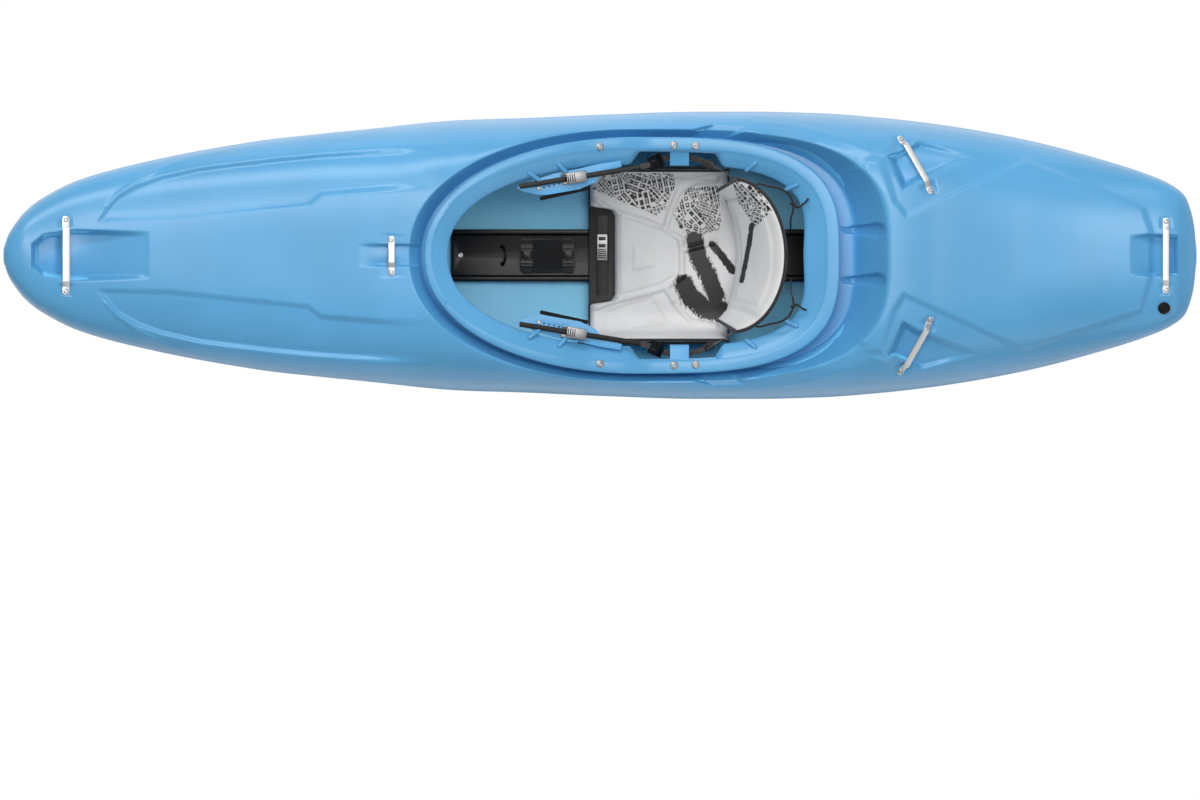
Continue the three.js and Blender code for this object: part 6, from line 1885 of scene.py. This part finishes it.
def build_stage(floor_colour, key_power):
    """A pale floor, a pale world and three soft lamps."""
    corners = rectangle((0, 0), (2 * STAGE_SIZE, 2 * STAGE_SIZE))
    mesh = bpy.data.meshes.new("studio_floor")
    mesh.from_pydata([(x, y, 0) for x, y in corners], [], [(0, 1, 2, 3)])
    floor = linked("studio_floor", mesh)
    m = Maker("studio_floor")
    seen = m.add("ShaderNodeLightPath", output="Is Camera Ray")
    plain = m.add("ShaderNodeBsdfDiffuse", None, {"Color": tinted(floor_colour)})
    white = m.add("ShaderNodeEmission", None, {"Color": tinted(floor_colour), "Strength": 1.0})
    m.add_output(m.add("ShaderNodeMixShader", None, {0: seen, 1: plain, 2: white}))
    mesh.materials.append(m.material)
    scene = bpy.context.scene
    world = bpy.data.worlds.new("studio_world")
    world.use_nodes = True
    tree = world.node_tree
    background = tree.nodes["Background"]
    background.inputs["Color"].default_value = (1, 1, 1, 1)
    seen = tree.nodes.new("ShaderNodeLightPath")
    level = tree.nodes.new("ShaderNodeMath")
    level.operation = "MAXIMUM"
    level.inputs[1].default_value = WORLD_STRENGTH
    tree.links.new(seen.outputs["Is Camera Ray"], level.inputs[0])
    tree.links.new(level.outputs[0], background.inputs["Strength"])
    scene.world = world
    for name, place, width, share in LAMPS:
        light = bpy.data.lights.new(name, "AREA")
        light.shape = "RECTANGLE"
        light.size, light.size_y = width
        light.energy = key_power * share
        lamp = linked(name, light)
        lamp.location = place
        lamp.rotation_euler = (-Vector(place)).to_track_quat("-Z", "Y").to_euler()
    scene.view_settings.view_transform = "Standard"


def build_camera():
    """An orthographic camera straight above, which sees the hull in the frame's upper half."""
    data = bpy.data.cameras.new("plan_camera")
    data.type = "ORTHO"
    data.ortho_scale = VIEW_WIDTH
    camera = linked("plan_camera", data)
    camera.location = CAMERA_PLACE
    bpy.context.scene.camera = camera


class KayakColours(bpy.types.PropertyGroup):
    """Colours that a user would change."""

    hull: bpy.props.FloatVectorProperty(
        name="Hull", description="Colour of the moulded hull", subtype="COLOR",
        min=0, max=1, default=rgb(90, 165, 214))
    fittings: bpy.props.FloatVectorProperty(
        name="Blue fittings", description="Colour of the thigh braces and seat hangers", subtype="COLOR",
        min=0, max=1, default=rgb(88, 168, 222))
    cover: bpy.props.FloatVectorProperty(
        name="Seat cover", description="Colour of the seat's coated cover", subtype="COLOR",
        min=0, max=1, default=rgb(224, 224, 224))
    print_ink: bpy.props.FloatVectorProperty(
        name="Cover print", description="Colour of the cover's printed marks", subtype="COLOR",
        min=0, max=1, default=rgb(22, 22, 24))
    floor: bpy.props.FloatVectorProperty(
        name="Floor", description="Colour of the studio floor", subtype="COLOR",
        min=0, max=1, default=(1.0, 1.0, 1.0))


class KayakSizes(bpy.types.PropertyGroup):
    """Sizes and levels that a user would change."""

    ridge_height: bpy.props.FloatProperty(
        name="Ridge height", description="How far the seat cover's moulded ridges stand up",
        unit="LENGTH", default=0.0060, min=0.0, max=0.008)
    key_power: bpy.props.FloatProperty(
        name="Key light", description="Power of the main studio lamp", default=KEY_POWER,
        min=0.0, max=1000.0)


class KAYAK_OT_camera(bpy.types.Operator):
    """Adds the camera"""

    bl_idname = "kayak.camera"
    bl_label = "Camera"

    def execute(self, context):
        build_camera()
        return {"FINISHED"}


class KAYAK_OT_hull(bpy.types.Operator):
    """Builds the moulded hull, its cockpit rim and ribs"""

    bl_idname = "kayak.hull"
    bl_label = "Hull"

    def execute(self, context):
        build_hull(tuple(context.scene.kayak_colours.hull))
        return {"FINISHED"}


class KAYAK_OT_cords(bpy.types.Operator):
    """Retention cords behind the seat"""

    bl_idname = "kayak.cords"
    bl_label = "Cords"

    def execute(self, context):
        build_cords()
        return {"FINISHED"}


class KAYAK_OT_bars(bpy.types.Operator):
    """Grab bars on the deck with their screws"""

    bl_idname = "kayak.bars"
    bl_label = "Deck bars"

    def execute(self, context):
        build_deck_bars()
        return {"FINISHED"}


class KAYAK_OT_screws(bpy.types.Operator):
    """Screws of the rim, the sides and the floor spine"""

    bl_idname = "kayak.screws"
    bl_label = "Rim screws"

    def execute(self, context):
        build_rim_screws()
        return {"FINISHED"}


class KAYAK_OT_plug(bpy.types.Operator):
    """Drain plug and its seal"""

    bl_idname = "kayak.plug"
    bl_label = "Drain plug"

    def execute(self, context):
        build_drain_plug()
        return {"FINISHED"}


class KAYAK_OT_frame_parts(bpy.types.Operator):
    """Seat pan, hangers, floor spine, foot rest and foam pillars"""

    bl_idname = "kayak.frame_parts"
    bl_label = "Seat frame"

    def execute(self, context):
        build_seat_frame()
        return {"FINISHED"}


class KAYAK_OT_cover(bpy.types.Operator):
    """Moulded seat cover with its bound edge"""

    bl_idname = "kayak.cover"
    bl_label = "Seat cover"

    def execute(self, context):
        build_seat_cover(context.scene.kayak_sizes.ridge_height)
        return {"FINISHED"}


class KAYAK_OT_backband(bpy.types.Operator):
    """Padded backband"""

    bl_idname = "kayak.backband"
    bl_label = "Backband"

    def execute(self, context):
        build_backband()
        return {"FINISHED"}


class KAYAK_OT_braces(bpy.types.Operator):
    """Thigh braces with pads, brackets and ratchets"""

    bl_idname = "kayak.braces"
    bl_label = "Thigh braces"

    def execute(self, context):
        build_braces()
        return {"FINISHED"}


class KAYAK_OT_straps(bpy.types.Operator):
    """Toothed straps through the ratchets"""

    bl_idname = "kayak.straps"
    bl_label = "Toothed straps"

    def execute(self, context):
        build_ladder_straps()
        return {"FINISHED"}


class KAYAK_OT_webbing(bpy.types.Operator):
    """Woven webbing and its sliders"""

    bl_idname = "kayak.webbing"
    bl_label = "Webbing"

    def execute(self, context):
        build_webbing()
        return {"FINISHED"}


class KAYAK_OT_lifter(bpy.types.Operator):
    """Leg lifter strap and ratchet"""

    bl_idname = "kayak.lifter"
    bl_label = "Leg lifter"

    def execute(self, context):
        build_lifter()
        return {"FINISHED"}


class KAYAK_OT_pouch(bpy.types.Operator):
    """Gear pouch, its straps and the tie loop"""

    bl_idname = "kayak.pouch"
    bl_label = "Gear pouch"

    def execute(self, context):
        build_pouch()
        return {"FINISHED"}


class KAYAK_OT_stage(bpy.types.Operator):
    """Adds the floor and the soft studio lamps"""

    bl_idname = "kayak.stage"
    bl_label = "Stage"

    def execute(self, context):
        build_stage(tuple(context.scene.kayak_colours.floor), context.scene.kayak_sizes.key_power)
        return {"FINISHED"}


class KAYAK_PT_panel(bpy.types.Panel):
    """Lists the builders and the colours and sizes they use"""

    bl_idname = "KAYAK_PT_panel"
    bl_label = "Whitewater kayak"
    bl_space_type = "VIEW_3D"
    bl_region_type = "UI"
    bl_category = "Kayak"

    def draw(self, context):
        layout = self.layout
        for group in (context.scene.kayak_colours, context.scene.kayak_sizes):
            for name in group.bl_rna.properties.keys():
                if name not in ("rna_type", "name"):
                    layout.prop(group, name)
        for operator in OPERATORS:
            layout.operator(operator.bl_idname)


OPERATORS = (
    KAYAK_OT_camera, KAYAK_OT_cords, KAYAK_OT_hull, KAYAK_OT_bars, KAYAK_OT_screws, KAYAK_OT_plug,
    KAYAK_OT_frame_parts, KAYAK_OT_cover, KAYAK_OT_backband, KAYAK_OT_braces, KAYAK_OT_straps,
    KAYAK_OT_webbing, KAYAK_OT_lifter, KAYAK_OT_pouch, KAYAK_OT_stage,
)
CLASSES = (KayakColours, KayakSizes, *OPERATORS, KAYAK_PT_panel)


def register():
    """Registers the classes and hangs the settings on the scene."""
    for kind in CLASSES:
        bpy.utils.register_class(kind)
    bpy.types.Scene.kayak_colours = bpy.props.PointerProperty(type=KayakColours)
    bpy.types.Scene.kayak_sizes = bpy.props.PointerProperty(type=KayakSizes)


def unregister():
    """Takes the settings and the classes away again."""
    del bpy.types.Scene.kayak_sizes
    del bpy.types.Scene.kayak_colours
    for kind in reversed(CLASSES):
        bpy.utils.unregister_class(kind)


def main():
    """Builds the whole boat, one operator after another."""
    register()
    for operator in OPERATORS:
        group, name = operator.bl_idname.split(".")
        getattr(getattr(bpy.ops, group), name)()


if __name__ == "__main__":
    main()
